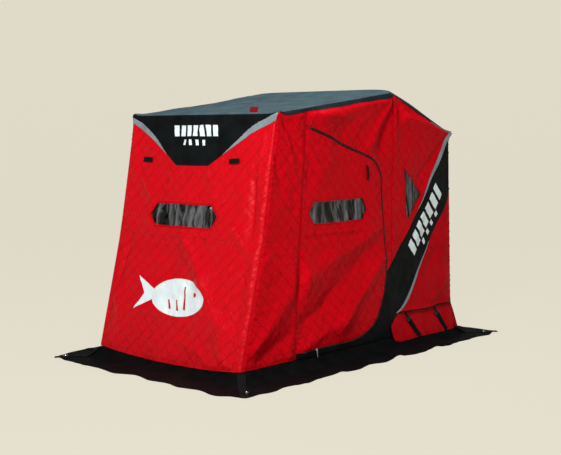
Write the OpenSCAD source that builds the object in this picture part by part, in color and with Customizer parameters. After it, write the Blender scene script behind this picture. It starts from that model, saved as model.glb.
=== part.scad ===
// Soft-sided ice fishing hut: a quilted fabric shell stretched over a tube frame that stands on a sled.
// The front wall faces -X, the sled is at +X, and the two zip doors are in the side walls.
// Frame: origin at the middle of the footprint on the ground, +Z up, the two sides mirror about Y = 0.
// Lengths are millimetres. Outlines are written as [x, z] on a side, [y, z] on the ends and [x, y] in plan,
// with x counted from the front wall's foot.

/* [Shell] */
// Width over the side walls
body_w = 1500; // [1300:10:1800]
// Length on the ground from front wall to rear wall
body_l = 2650; // [2300:10:3200]
// Height where the walls end and the ground skirt begins
foot_z = 85; // [70:1:102]
// How far the front wall has leaned in at its cross seam
kink_x = 205; // [150:5:240]
// Height of the front wall's cross seam
kink_z = 950; // [800:10:1000]
// How far the front wall has leaned in at the roof
front_top_x = 345; // [290:5:400]
// Height of the roof's front edge
front_top_z = 1870; // [1840:10:1980]
// Distance of the ridge from the rear wall's hem
ridge_setback = 910; // [800:10:1000]
// Height of the ridge
ridge_z = 2050; // [1980:10:2460]
// Distance of the rear roof edge from the rear wall's hem
rear_top_setback = 65; // [40:5:100]
// Height of the rear roof edge
rear_top_z = 1735; // [1650:10:1800]
// Height of the hem over the sled
hem_z = 265; // [250:5:318]

/* [Cloth] */
// Thickness of the quilted cloth
cloth_t = 6; // [4:0.5:8]
// Thickness of the skirt cloth
skirt_t = 4; // [3:0.5:5]
// Thickness of the window film
film_t = 2; // [1:0.5:3]
// Thickness of tape and reflective trim
trim_t = 1.2; // [1:0.1:2]
// Reach of the skirt over the ground
skirt_w = 300; // [240:10:360]
// Run of the skirt's sloping part
skirt_run = 80; // [60:5:100]
// Height at which the sled flap meets the skirt
flap_z = 45; // [36:1:54]

/* [Front wall] */
// Half width of the yoke's bottom edge
yoke_half = 165; // [120:5:200]
// Height of the yoke's bottom edge
yoke_z = 1482; // [1440:5:1520]
// Height of the yoke's lower edge at the corners
yoke_corner_z = 1812; // [1780:5:1825]
// Length of a hexagonal window
window_l = 690; // [560:10:830]
// Height of a hexagonal window
window_h = 168; // [140:4:202]
// Length of a hexagonal window's pointed ends
window_point = 60; // [40:5:72]
// Height of the front window's middle
front_window_z = 1114; // [1080:2:1140]
// Sideways shift of the front window
front_window_y = 60; // [0:5:100]
// Spacing of the two front loops
loop_spacing = 960; // [800:10:1150]
// Height of the front loops
loop_z = 1521; // [1500:5:1560]
// Size of a front loop across, up and out
loop_size = [92, 34, 8];

/* [Side door] */
// Place of the hinge seam at the sill
hinge_x = 550; // [500:10:640]
// Lean of the hinge seam, in degrees
hinge_lean = 3.62; // [3:0.02:4.3]
// Height of the sill
sill_z = 127; // [115:1:152]
// Height of the opening at the hinge seam
door_top_z = 1785; // [1650:5:1800]
// Fall of the opening's top edge, in degrees
door_fall = 17.9; // [15:0.1:21]
// Distance from the ridge to the opening's rear edge, at the sill
door_margin = 15; // [5:5:30]
// Lean of the opening's rear edge, in degrees
door_rear_lean = 5.5; // [4:0.1:6.6]
// Radius of the opening's upper corner
door_top_r = 230; // [180:10:276]
// Radius of the opening's lower corner
door_foot_r = 470; // [380:10:560]
// Gap round the door leaf
door_gap = 6; // [5:0.5:7]
// Clearance between the leaf and its hinge cord
hinge_clear = 0.3; // [0.2:0.05:0.4]
// Width of the zip tape on the leaf
zip_w = 12; // [10:1:15]
// Distance of the zip's start from the hinge seam
zip_start = 52; // [40:1:63]
// Margin from the hinge seam to the door window
door_window_front = 92; // [80:2:110]
// Margin from the door window to the opening's rear edge
door_window_rear = 240; // [200:5:290]
// Height of the door window's middle
door_window_z = 1141; // [1100:1:1180]
// Length of the door tie
tie_l = 108; // [90:2:130]
// Width of the door tie
tie_w = 22; // [18:1:26]
// Setback of the tie from the corner of the opening
tie_setback = 188; // [150:2:220]
// Drop from the opening's top edge to the tie's top end
tie_drop = 75; // [60:1:90]

/* [Rear of the sides] */
// Triangular window's corners, back from the ridge and up
side_window = [[176, 1436], [411, 1236], [229, 1009]];
// Height where the diagonal band's upper edge meets the door
band_door_z = 620; // [560:10:680]
// Height where the diagonal band's lower edge meets the rear wall
band_rear_z = 1185; // [1000:5:1250]
// Distance of the sled flap's front edge behind the sled's front
flap_setback = 72; // [60:1:86]

/* [Sled and frame] */
// Length of the sled along X
sled_l = 865; // [760:5:900]
// Gap between the sled and the rear wall
sled_gap = 20; // [15:1:24]
// Height of the sled
sled_h = 250; // [210:5:256]
// Wall of the sled
sled_t = 5; // [4:0.5:6]
// Run of the sled's upswept ends
sled_sweep = 150; // [120:5:180]
// Height of the sled's upswept ends
sled_rise = 110; // [90:5:132]
// Radius of the frame tubes
tube_r = 12.5; // [10:0.5:15]
// Radius of the corner balls
ball_r = 17; // [16:0.5:20]
// Clearance where cloth lies on the frame
seat_gap = 0.3; // [0.2:0.05:0.4]
// Radius of the pivot hubs
hub_r = 56; // [50:1:60]
// Height of the pivot hubs
hub_z = 300; // [290:5:320]
// Setback of the pivots from the sled's front
hub_setback = 45; // [40:1:54]
// Radius of the low pivots that hold the ground rails
low_hub_r = 26; // [20:1:30]
// Height of the low pivots
low_hub_z = 100; // [90:1:110]
// Thickness of the pivot plates
plate_t = 8; // [6:1:9]

/* [Straps] */
// Width of a corner strap on the skirt
strap_w = 58; // [48:1:70]
// Length of a corner strap on the skirt
strap_l = 230; // [190:5:240]
// Radius of a strap ring's middle line
ring_r = 17; // [14:1:20]
// Radius of a strap ring's wire
ring_wire = 2.5; // [2:0.5:3]
// Width of a flap strap
flap_strap_w = 44; // [36:1:54]
// Forward lean of the flap straps, in degrees
flap_strap_lean = 36; // [30:1:42]
// Places of the flap straps behind the flap's front edge, at the hem
flap_straps_x = [80, 500];
// Size of a buckle across, up and out
buckle_size = [50, 34, 14];

/* [Hidden] */

big = 4000; // longer than any part, for blanks that are cut down
half_w = body_w / 2;
curve_steps = 10;

// ---- geometry helpers ----

// Unit vector from a to b
function along(a, b) = (b - a) / norm(b - a);
// Left-hand normal of the direction from a to b
function left_of(a, b) = let (u = along(a, b)) [-u[1], u[0]];
// Meeting point of the lines through p along u and through q along v
function meet(p, u, q, v) =
    let (det = u[0] * v[1] - u[1] * v[0])
    let (s = ((q[0] - p[0]) * v[1] - (q[1] - p[1]) * v[0]) / det)
    p + s * u;
// Corner b of a-b-c moved in by d, to the right of the direction of travel
function inset_corner(a, b, c, d) =
    meet(b - d * left_of(a, b), along(a, b), b - d * left_of(b, c), along(b, c));
// Closed outline, clockwise, moved in by d
function inset(pts, d) =
    let (n = len(pts))
    [for (i = [0:n - 1]) inset_corner(pts[(i + n - 1) % n], pts[i], pts[(i + 1) % n], d)];
// Points of the arc of radius r that rounds corner b of a-b-c
function round_corner(a, b, c, r) =
    let (u = along(b, a), v = along(b, c))
    let (half = acos(u * v) / 2)
    let (mid = b + r / sin(half) * (u + v) / norm(u + v))
    let (start = b + u * r / tan(half), stop = b + v * r / tan(half))
    [for (i = [0:curve_steps])
        let (t = i / curve_steps)
        let (way = (start - mid) * (1 - t) + (stop - mid) * t)
        mid + r * way / norm(way)];
// Points of the quadratic curve from a to c that bends towards b
function curve(a, b, c) =
    [for (i = [0:curve_steps])
        let (t = i / curve_steps)
        (1 - t) * (1 - t) * a + 2 * t * (1 - t) * b + t * t * c];
// Outline mirrored in its first coordinate
function flipped(pts) = [for (i = [len(pts) - 1:-1:0]) [-pts[i][0], pts[i][1]]];

// ---- the profile seen from a side ----

foot = [0, foot_z];
kink = [kink_x, kink_z];
front_top = [front_top_x, front_top_z];
ridge = [body_l - ridge_setback, ridge_z];
rear_top = [body_l - rear_top_setback, rear_top_z];
hem = [body_l, hem_z];

// The profile moved in by d: the front foot and the rear hem stay at their heights
function level(p, q, z) = p + (q - p) * (z - p[1]) / (q[1] - p[1]);
function foot_in(d, z) =
    level(foot - d * left_of(foot, kink), kink - d * left_of(foot, kink), z);
function hem_in(d, z) =
    level(hem - d * left_of(rear_top, hem), rear_top - d * left_of(rear_top, hem), z);
function profile_in(d) = [
    foot_in(d, foot_z),
    inset_corner(foot, kink, front_top, d),
    inset_corner(kink, front_top, ridge, d),
    inset_corner(front_top, ridge, rear_top, d),
    inset_corner(ridge, rear_top, hem, d),
    hem_in(d, hem_z)
];
outer = profile_in(0);
inner = profile_in(cloth_t);
trim_out = profile_in(-trim_t);
loop_out = profile_in(-loop_size[2]);

// ---- places on a side ----

hinge_foot = [hinge_x, sill_z];
hinge_up = [sin(hinge_lean), cos(hinge_lean)];
hinge_top = hinge_foot + hinge_up * (door_top_z - sill_z) / cos(hinge_lean);
door_rear_foot = [ridge[0] - door_margin, sill_z];
door_rear_up = [-sin(door_rear_lean), cos(door_rear_lean)];
door_top_way = [cos(door_fall), -sin(door_fall)];
door_top_rear = meet(hinge_top, door_top_way, door_rear_foot, door_rear_up);
upper_bend = round_corner(hinge_top, door_top_rear, door_rear_foot, door_top_r);
lower_bend = round_corner(door_top_rear, door_rear_foot, hinge_foot, door_foot_r);
opening = concat([hinge_foot, hinge_top], upper_bend, lower_bend);
leaf = inset(opening, door_gap);
leaf_inner = inset(opening, door_gap + zip_w);
function door_rear(z) = door_rear_foot + door_rear_up * (z - sill_z) / cos(door_rear_lean);
function hinge_at(z) = hinge_foot + hinge_up * (z - sill_z) / cos(hinge_lean);

sled_back = body_l - sled_gap;
sled_front = sled_back - sled_l;
hub = [sled_front + hub_setback, hub_z];
low_hub = [sled_front + hub_setback, low_hub_z];
band_door = door_rear(band_door_z);
band_rear = level(hem, rear_top, band_rear_z);
flap_front = [sled_front + flap_setback, hem_z];
band_bend = [(band_door[0] + rear_top[0]) / 2 + 12, (band_door[1] + rear_top[1]) / 2 - 146];
band_edge = curve(rear_top, band_bend, band_door);

// ---- blanks ----

module place() {
    translate([-body_l / 2, 0, 0])
        children();
}
module mirrored() {
    mirror([0, 1, 0])
        children();
}
module both_sides() {
    children();
    mirrored()
        children();
}
// [x, z] outline drawn from y0 towards +Y for t
module side_slab(pts, y0, t) {
    translate([0, y0 + t, 0])
        rotate([90, 0, 0])
            linear_extrude(t)
                polygon(pts);
}
// [y, z] outline drawn along X
module end_prism(pts) {
    translate([-big / 2, 0, 0])
        rotate([90, 0, 90])
            linear_extrude(2 * big)
                polygon(pts);
}
// The right side wall's cloth inside an [x, z] outline
module side_cloth(pts) {
    intersection() {
        side_slab(concat(inner, [[inner[5][0], foot_z - 1], [inner[0][0], foot_z - 1]]), -half_w, cloth_t);
        side_slab(pts, -half_w - cloth_t, 3 * cloth_t);
    }
}
// Cloth that spans the hut between profile points i and i + 1
module span(i) {
    side_slab([outer[i], outer[i + 1], inner[i + 1], inner[i]], -half_w, body_w);
}
// A layer on the outside of the front wall's upper part, out to the profile given
module front_layer(out) {
    side_slab([outer[1], outer[2], out[2], out[1]], -half_w, body_w);
}
// A tube between two [x, z] points, on the side frame's line
module side_tube(a, b, cut_a, cut_b) {
    start = a + along(a, b) * cut_a;
    length = norm(b - a) - cut_a - cut_b;
    translate([start[0], frame_y, start[1]])
        rotate([0, atan2(b[0] - a[0], b[1] - a[1]), 0])
            cylinder(h = length, r = tube_r, $fn = 32);
}
module ball(p) {
    translate([p[0], frame_y, p[1]])
        sphere(r = ball_r, $fn = 32);
}

// ---- the frame ----

frame_in = cloth_t + seat_gap + ball_r;
frame_y = -(half_w - frame_in);
joints = profile_in(frame_in);
foot_ball = foot_in(frame_in, ball_r);
sled_half = half_w - frame_in - tube_r - plate_t - seat_gap;

module sled_profile(t) {
    polygon([
        [-sled_half + t, sled_h + t], [-sled_half + t, sled_rise], [-sled_half + sled_sweep + t / 2, t],
        [sled_half - sled_sweep - t / 2, t], [sled_half - t, sled_rise], [sled_half - t, sled_h + t]
    ]);
}
module sled() {
    color("#2b2d30")
        difference() {
            intersection() {
                translate([sled_front, 0, 0])
                    rotate([90, 0, 90])
                        linear_extrude(sled_l)
                            sled_profile(0);
                translate([0, -half_w, 0])
                    cube([big, body_w, sled_h]);
            }
            translate([sled_front + sled_t, 0, 0])
                rotate([90, 0, 90])
                    linear_extrude(sled_l - 2 * sled_t)
                        sled_profile(sled_t);
        }
}
module pivot_hub() {
    plate_y = -sled_half - seat_gap - plate_t;
    translate([hub[0], frame_y + tube_r, hub[1]])
        rotate([90, 0, 0])
            cylinder(h = 2 * tube_r, r = hub_r, $fn = 48);
    translate([low_hub[0], frame_y + tube_r, low_hub[1]])
        rotate([90, 0, 0])
            cylinder(h = 2 * tube_r, r = low_hub_r, $fn = 48);
    translate([hub[0] - low_hub_r, plate_y, low_hub_z - low_hub_r])
        cube([2 * low_hub_r, plate_t, hub_z - low_hub_z]);
}
module pivot_hubs() {
    color("#202224")
        both_sides()
            pivot_hub();
}
module crossbar(p) {
    length = 2 * (-frame_y - ball_r - seat_gap);
    translate([p[0], length / 2, p[1]])
        rotate([90, 0, 0])
            cylinder(h = length, r = tube_r, $fn = 32);
}
module crossbars() {
    color("#8d9195")
        for (p = [foot_ball, joints[2], joints[3], joints[4]])
            crossbar(p);
}
module corner_post() {
    side_tube(foot_ball, joints[1], 0, 0);
    side_tube(joints[1], joints[2], 0, 0);
    ball(foot_ball);
    ball(joints[1]);
    ball(joints[2]);
}
module corner_posts() {
    color("#8d9195")
        both_sides()
            corner_post();
}
module hoop_leg(top) {
    side_tube(hub, top, hub_r + seat_gap, 0);
    ball(top);
}
module hoop_legs() {
    color("#8d9195")
        both_sides() {
            hoop_leg(joints[3]);
            hoop_leg(joints[4]);
        }
}
module frame_rails() {
    color("#8d9195")
        both_sides() {
            side_tube(joints[2], joints[3], ball_r + seat_gap, ball_r + seat_gap);
            side_tube(foot_ball, low_hub, ball_r + seat_gap, low_hub_r + seat_gap);
        }
}

// ---- the front ----

yoke_bend = [500, yoke_corner_z - 82];
yoke_edge = curve([half_w, yoke_corner_z], yoke_bend, [yoke_half, yoke_z]);
yoke_outline = concat(
    [[-big, yoke_corner_z], [-big, big], [big, big], [big, yoke_corner_z]], yoke_edge, flipped(yoke_edge));
function hexagon(mid, l, h, point) = [
    mid + [-l / 2, 0], mid + [-l / 2 + point, h / 2], mid + [l / 2 - point, h / 2],
    mid + [l / 2, 0], mid + [l / 2 - point, -h / 2], mid + [-l / 2 + point, -h / 2]
];
front_window_outline = hexagon([front_window_y, front_window_z], window_l, window_h, window_point);

module front_wall() {
    color("#c8141d")
        difference() {
            side_slab([outer[0], outer[1], outer[2], inner[2], inner[1], inner[0]], -half_w, body_w);
            end_prism(yoke_outline);
            end_prism(front_window_outline);
        }
}
module front_yoke() {
    color("#1d2022")
        intersection() {
            span(1);
            end_prism(yoke_outline);
        }
}
module front_window() {
    set_in = profile_in((cloth_t - film_t) / 2);
    set_back = profile_in((cloth_t + film_t) / 2);
    color("#2c2d30", 0.6)
        intersection() {
            side_slab([set_in[1], set_in[2], set_back[2], set_back[1]], -half_w, body_w);
            end_prism(front_window_outline);
        }
}
module front_loops() {
    color("#0c0c0d")
        for (s = [-1, 1])
            intersection() {
                front_layer(loop_out);
                translate([-big / 2, front_window_y / 2 + (s * loop_spacing - loop_size[0]) / 2, loop_z - loop_size[1] / 2])
                    cube([big, loop_size[0], loop_size[1]]);
            }
}

// ---- the roof and the rear ----

tab_size = [2, 76, 44];
tab_y = -500;
tab_back = 30;

module roof() {
    color("#2b3336")
        span(2);
}
module rear_roof() {
    color("#2b3336")
        span(3);
}
module roof_tab() {
    base = level([front_top[1], front_top[0]], [ridge[1], ridge[0]], front_top[0] + tab_back + tab_size[0]);
    color("#a3161c")
        translate([front_top[0] + tab_back, tab_y - tab_size[1] / 2, base[0]])
            cube(tab_size);
}
module rear_wall() {
    color("#c8141d")
        intersection() {
            span(4);
            translate([0, -half_w, -big + band_rear_z])
                cube([big, body_w, big]);
        }
}
module rear_yoke() {
    color("#1d2022")
        intersection() {
            span(4);
            translate([0, -half_w, band_rear_z])
                cube([big, body_w, big]);
        }
}

// ---- the sides ----

front_panel = [[-big, foot_z], [-big, big], hinge_at(big), hinge_at(foot_z)];
surround = concat(
    [hinge_top, hinge_at(big), [ridge[0], big], ridge], [band_edge[curve_steps - 1], band_door],
    [for (i = [curve_steps:-1:0]) upper_bend[i]]);
rear_panel = concat([ridge, [ridge[0], big], [big, big], [big, rear_top[1]]],
    [for (i = [0:curve_steps - 1]) band_edge[i]]);
side_window_outline = [for (p = side_window) [ridge[0] + p[0], p[1]]];
band = concat(
    [[big, rear_top[1]], [big, band_rear[1]], band_rear, flap_front, [flap_front[0], foot_z]],
    [[lower_bend[curve_steps][0], foot_z]],
    [for (i = [curve_steps:-1:0]) lower_bend[i]],
    [for (i = [curve_steps:-1:0]) band_edge[i]]);
sill = [hinge_at(foot_z), hinge_foot, lower_bend[curve_steps], [lower_bend[curve_steps][0], foot_z]];
lower_panel = [flap_front, band_rear, [big, band_rear[1]], [big, hem_z]];

module side_front_panel() {
    color("#c8141d")
        union() {
            side_cloth(front_panel);
            hinge_cord();
        }
}
module hinge_cord() {
    cord_r = door_gap - hinge_clear;
    inset_end = 3 * cord_r;
    length = norm(hinge_top - hinge_foot) - 2 * inset_end;
    start = hinge_foot + hinge_up * inset_end;
    translate([start[0], -half_w, start[1]])
        rotate([0, hinge_lean, 0])
            cylinder(h = length, r = cord_r, $fn = 24);
}
module door_surround() {
    color("#c8141d")
        side_cloth(surround);
}
module side_rear_panel() {
    color("#c8141d")
        difference() {
            side_cloth(rear_panel);
            side_slab(side_window_outline, -half_w - cloth_t, 3 * cloth_t);
        }
}
module side_windows() {
    color("#2c2d30", 0.6)
        both_sides()
            side_slab(side_window_outline, -half_w + (cloth_t - film_t) / 2, film_t);
}
module side_band() {
    color("#1d2022")
        side_cloth(band);
}
module door_sills() {
    color("#1d2022")
        both_sides()
            side_cloth(sill);
}
module side_lower_panels() {
    color("#c8141d")
        both_sides()
            side_cloth(lower_panel);
}

// ---- the doors ----

door_window_l = door_rear(door_window_z)[0] - hinge_at(door_window_z)[0] - door_window_front - door_window_rear;
door_window_x = hinge_at(door_window_z)[0] + door_window_front + door_window_l / 2;
door_window_outline = hexagon([door_window_x, door_window_z], door_window_l, window_h, window_point);
tie_top = hinge_top + door_top_way * (norm(door_top_rear - hinge_top) - tie_setback / cos(door_fall)) - [0, tie_drop];

module door() {
    color("#c8141d")
        difference() {
            side_slab(leaf, -half_w, cloth_t);
            side_slab(door_window_outline, -half_w - cloth_t, 3 * cloth_t);
        }
}
module door_window() {
    color("#2c2d30", 0.6)
        side_slab(door_window_outline, -half_w + (cloth_t - film_t) / 2, film_t);
}
module door_zip() {
    last = len(leaf) - 1;
    start = leaf[1] + along(leaf[1], leaf[2]) * zip_start;
    start_in = leaf_inner[1] + along(leaf_inner[1], leaf_inner[2]) * zip_start;
    stop = leaf[0] + along(leaf[0], leaf[last]) * zip_start;
    stop_in = leaf_inner[0] + along(leaf_inner[0], leaf_inner[last]) * zip_start;
    strip = concat(
        [start], [for (i = [2:last]) leaf[i]], [stop, stop_in],
        [for (i = [last:-1:2]) leaf_inner[i]], [start_in]);
    color("#0c0c0d")
        side_slab(strip, -half_w - 2 * trim_t, 2 * trim_t);
}
module door_tie() {
    down = -door_rear_up;
    across = [-down[1], down[0]];
    color("#0c0c0d")
        side_slab([tie_top, tie_top + tie_w * across, tie_top + tie_w * across + tie_l * down, tie_top + tie_l * down],
            -half_w - 2 * trim_t, 2 * trim_t);
}

// ---- the skirt and the sled flaps ----

skirt_section = [
    [-skirt_t, foot_z], [0, foot_z], [skirt_run, skirt_t], [skirt_w, skirt_t], [skirt_w, 0],
    [skirt_run - skirt_t, 0]
];
flap_out = (foot_z - flap_z) * skirt_run / (foot_z - skirt_t) + seat_gap;
flap_section = [[-cloth_t, hem_z], [0, hem_z], [flap_out + cloth_t, flap_z], [flap_out, flap_z]];
function offset_section(section, t) = [section[1], section[2], section[2] + [t, 0], section[1] + [t, 0]];

// An [out, z] section run along the right side, with its ends mitred at the hut's corners
module right_run(section, from_x, mitre_front) {
    reach = skirt_w + cloth_t;
    intersection() {
        translate([-big / 2, -half_w, 0])
            rotate([90, 0, 90])
                linear_extrude(2 * big)
                    polygon([for (p = section) [-p[0], p[1]]]);
        linear_extrude(hem_z + cloth_t)
            polygon([
                [from_x + cloth_t * mitre_front, -half_w + cloth_t], [body_l - cloth_t, -half_w + cloth_t],
                [body_l + reach, -half_w - reach], [from_x - reach * mitre_front, -half_w - reach]
            ]);
    }
}
// The same section along the rear wall
module rear_run(section) {
    reach = skirt_w + cloth_t;
    intersection() {
        translate([body_l, half_w + big / 2, 0])
            rotate([90, 0, 0])
                linear_extrude(body_w + big)
                    polygon(section);
        linear_extrude(hem_z + cloth_t)
            polygon([
                [body_l - cloth_t, half_w - cloth_t], [body_l - cloth_t, -half_w + cloth_t],
                [body_l + reach, -half_w - reach], [body_l + reach, half_w + reach]
            ]);
    }
}
module rear_skirt() {
    color("#17191b")
        rear_run(skirt_section);
}
module front_skirt() {
    color("#17191b")
        translate([body_l, 0, 0])
            mirror([1, 0, 0])
                rear_run(skirt_section);
}
module side_skirts() {
    color("#17191b")
        both_sides()
            right_run(skirt_section, 0, 1);
}
module sled_flap() {
    color("#c8141d")
        right_run(flap_section, flap_front[0], 0);
}
module rear_flap() {
    color("#c8141d")
        rear_run(flap_section);
}

// ---- straps and trim ----

// Places the children at a corner of the skirt, with +X pointing out along the mitre
module at_corner(end, side) {
    translate([end > 0 ? body_l : 0, side * half_w, skirt_t])
        rotate([0, 0, atan2(side, end)])
            children();
}
module corner_straps() {
    start = skirt_run * sqrt(2) + strap_w / 2;
    color("#101112")
        for (end = [-1, 1], side = [-1, 1])
            at_corner(end, side)
                translate([start, -strap_w / 2, 0])
                    cube([strap_l, strap_w, 2 * trim_t]);
}
module strap_rings() {
    middle = skirt_run * sqrt(2) + strap_w / 2 + strap_l * 0.62;
    color("#b9bcbf")
        for (end = [-1, 1], side = [-1, 1])
            at_corner(end, side)
                translate([middle, 0, 2 * trim_t + ring_wire])
                    rotate_extrude($fn = 48)
                        translate([ring_r, 0])
                            circle(r = ring_wire, $fn = 16);
}
function flap_strap_foot(x, z) = [flap_front[0] + x + (hem_z - z) * tan(flap_strap_lean), z];
function flap_strap(x, top_z, foot, w) = [
    flap_strap_foot(x, top_z), flap_strap_foot(x, top_z) + [w, 0],
    flap_strap_foot(x, foot) + [w, 0], flap_strap_foot(x, foot)
];
buckle_z = hem_z - 62;

module on_flap(pts, t) {
    intersection() {
        right_run(offset_section(flap_section, t), flap_front[0], 0);
        side_slab(pts, -half_w - skirt_w, skirt_w + cloth_t);
    }
}
module flap_straps() {
    color("#101112")
        both_sides()
            for (x = flap_straps_x)
                on_flap(flap_strap(x, hem_z - 12, flap_z, flap_strap_w), 3 * trim_t);
}
module strap_buckles() {
    color("#0c0c0d")
        both_sides()
            for (x = flap_straps_x)
                intersection() {
                    difference() {
                        right_run(offset_section(flap_section, buckle_size[2]), flap_front[0], 0);
                        right_run(offset_section(flap_section, 3 * trim_t), flap_front[0], 0);
                    }
                    side_slab(
                        flap_strap(x - (buckle_size[0] - flap_strap_w) / 2, buckle_z + buckle_size[1] / 2,
                            buckle_z - buckle_size[1] / 2, buckle_size[0]),
                        -half_w - skirt_w, skirt_w + cloth_t);
                }
}
trim_tip = 6; // of the curve's steps, where a crescent of trim ends
module front_crescent() {
    top = curve([half_w, front_top_z - 3], [half_w - 170, front_top_z - 20], yoke_edge[trim_tip]);
    intersection() {
        front_layer(trim_out);
        end_prism(concat(top, [for (i = [trim_tip - 1:-1:0]) yoke_edge[i]]));
    }
}
module side_trim(pts) {
    side_slab(pts, -half_w - trim_t, trim_t);
}
module side_crescents() {
    upper_w = 34;
    lower_w = 42;
    low_a = level(band_rear, flap_front, 700);
    low_b = level(band_rear, flap_front, hem_z + 8);
    low_way = along(low_a, low_b);
    low_side = left_of(low_a, low_b);
    side_trim(concat(
        [for (i = [0:4]) band_edge[i] + [-cloth_t, -3 * cloth_t]],
        [for (i = [4:-1:0]) band_edge[i] + [-cloth_t, -3 * cloth_t] + upper_w * (1 - i / 4) * [0.35, -1] * 1.4]));
    side_trim(curve(low_a, low_a + 0.8 * (low_b - low_a) - lower_w * 1.6 * low_side, low_b));
}
module reflective_trim() {
    color("#8f979b") {
        both_sides()
            front_crescent();
        both_sides()
            side_crescents();
    }
}

// ---- the nodes ----

place() sled();
place() pivot_hubs();
place() crossbars();
place() corner_posts();
place() hoop_legs();
place() frame_rails();
place() front_wall();
place() front_yoke();
place() front_window();
place() front_loops();
place() roof();
place() rear_roof();
place() roof_tab();
place() rear_wall();
place() rear_yoke();
place() rear_flap();
place() side_front_panel();  // side_front_panel_right
place() mirrored() side_front_panel();  // side_front_panel_left
place() door_surround();  // door_surround_right
place() mirrored() door_surround();  // door_surround_left
place() side_rear_panel();  // side_rear_panel_right
place() mirrored() side_rear_panel();  // side_rear_panel_left
place() side_windows();
place() side_band();  // side_band_right
place() mirrored() side_band();  // side_band_left
place() door_sills();
place() side_lower_panels();
place() sled_flap();  // sled_flap_right
place() mirrored() sled_flap();  // sled_flap_left
place() door();  // door_right
place() mirrored() door();  // door_left
place() door_window();  // door_window_right
place() mirrored() door_window();  // door_window_left
place() door_zip();  // door_zip_right
place() mirrored() door_zip();  // door_zip_left
place() door_tie();  // door_tie_right
place() mirrored() door_tie();  // door_tie_left
place() front_skirt();
place() rear_skirt();
place() side_skirts();
place() corner_straps();
place() strap_rings();
place() flap_straps();
place() strap_buckles();
place() reflective_trim();
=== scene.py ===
"""Soft-sided ice fishing hut: quilted cloth, film windows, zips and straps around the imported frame.

Each wall is a surface with its own (u, v) place in metres. Folds belong to the wall, so panels that are sewn
together bend together; quilting and puckers belong to the panel and fade out at its seams.
"""
import math

import bmesh
import bpy
import numpy as np
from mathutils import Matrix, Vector
from mathutils.geometry import delaunay_2d_cdt


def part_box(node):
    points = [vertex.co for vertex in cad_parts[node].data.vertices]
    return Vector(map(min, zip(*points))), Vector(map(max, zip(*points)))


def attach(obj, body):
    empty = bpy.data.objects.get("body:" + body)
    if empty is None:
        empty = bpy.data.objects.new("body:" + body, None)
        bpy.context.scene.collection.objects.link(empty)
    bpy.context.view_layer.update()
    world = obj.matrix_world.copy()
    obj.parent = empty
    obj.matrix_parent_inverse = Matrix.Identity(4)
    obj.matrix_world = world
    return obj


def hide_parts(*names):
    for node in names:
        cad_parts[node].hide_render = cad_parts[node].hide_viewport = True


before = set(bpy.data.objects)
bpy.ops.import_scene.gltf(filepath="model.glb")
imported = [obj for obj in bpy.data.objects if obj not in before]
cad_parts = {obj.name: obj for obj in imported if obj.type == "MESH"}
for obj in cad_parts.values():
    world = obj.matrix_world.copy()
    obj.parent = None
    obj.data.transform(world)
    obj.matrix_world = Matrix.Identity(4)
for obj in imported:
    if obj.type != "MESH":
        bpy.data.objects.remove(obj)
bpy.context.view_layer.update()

# ---- sizes in metres, from the frame ----

HALF_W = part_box("front_wall")[1].y
FOOT = np.array([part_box("front_wall")[0].x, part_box("front_wall")[0].z])
HEM = np.array([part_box("rear_wall")[1].x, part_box("rear_wall")[0].z])
RIDGE = np.array([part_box("roof")[1].x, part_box("roof")[1].z])
FRONT_TOP = np.array([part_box("roof")[0].x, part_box("front_yoke")[1].z])
REAR_TOP = np.array([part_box("rear_yoke")[1].x - 0.024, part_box("rear_yoke")[1].z])
KINK = FOOT + [0.205, 0.865]
BAND_REAR_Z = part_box("rear_yoke")[0].z + 0.045
SKIRT_W = FOOT[0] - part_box("front_skirt")[0].x
SLED_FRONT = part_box("sled")[0].x

CLOTH = 0.005
FILM = 0.0015
QUILT_W = 0.110
QUILT_H = 0.110
QUILT_CELLS = 8
KINK_SOFTNESS = 0.12
CORNER_ROUND = 0.040
EDGE_ROUND = 0.028
FRAME_IN = 0.035
TUBE_R = 0.0125
BALL_R = 0.017

SIDES = {"right": -1, "left": 1}


def at(x, z):
    """A place given in millimetres from the front wall's foot, in the frame's metres."""
    return np.array([FOOT[0] + x / 1000, z / 1000])


# ---- plane geometry ----

def unit(v):
    return v / np.linalg.norm(v)


def meet(p, u, q, v):
    """Where the line through p along u meets the line through q along v."""
    return p + u * ((q[0] - p[0]) * v[1] - (q[1] - p[1]) * v[0]) / (u[0] * v[1] - u[1] * v[0])


def curve(a, b, c, steps=16):
    """Points of the quadratic curve from a to c that bends towards b."""
    t = np.linspace(0, 1, steps + 1)[:, None]
    return (1 - t) ** 2 * a + 2 * t * (1 - t) * b + t ** 2 * c


def round_corner(a, b, c, r, steps=12):
    """Points of the arc of radius r that rounds the corner b of a-b-c."""
    u, v = unit(a - b), unit(c - b)
    half = math.acos(float(u @ v)) / 2
    mid = b + unit(u + v) * r / math.sin(half)
    start, stop = b + u * r / math.tan(half), b + v * r / math.tan(half)
    t = np.linspace(0, 1, steps + 1)[:, None]
    way = (start - mid) * (1 - t) + (stop - mid) * t
    return mid + r * way / np.linalg.norm(way, axis=1)[:, None]


def densify(points, step, closed=True):
    """The outline with points added so that none are further apart than step."""
    points = np.asarray(points, float)
    ends = np.roll(points, -1, axis=0) if closed else points[1:]
    out = []
    for a, b in zip(points, ends):
        n = max(1, math.ceil(np.linalg.norm(b - a) / step - 1e-9))
        out += [a + (b - a) * i / n for i in range(n)]
    if not closed:
        out.append(points[-1])
    return np.array(out)


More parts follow.
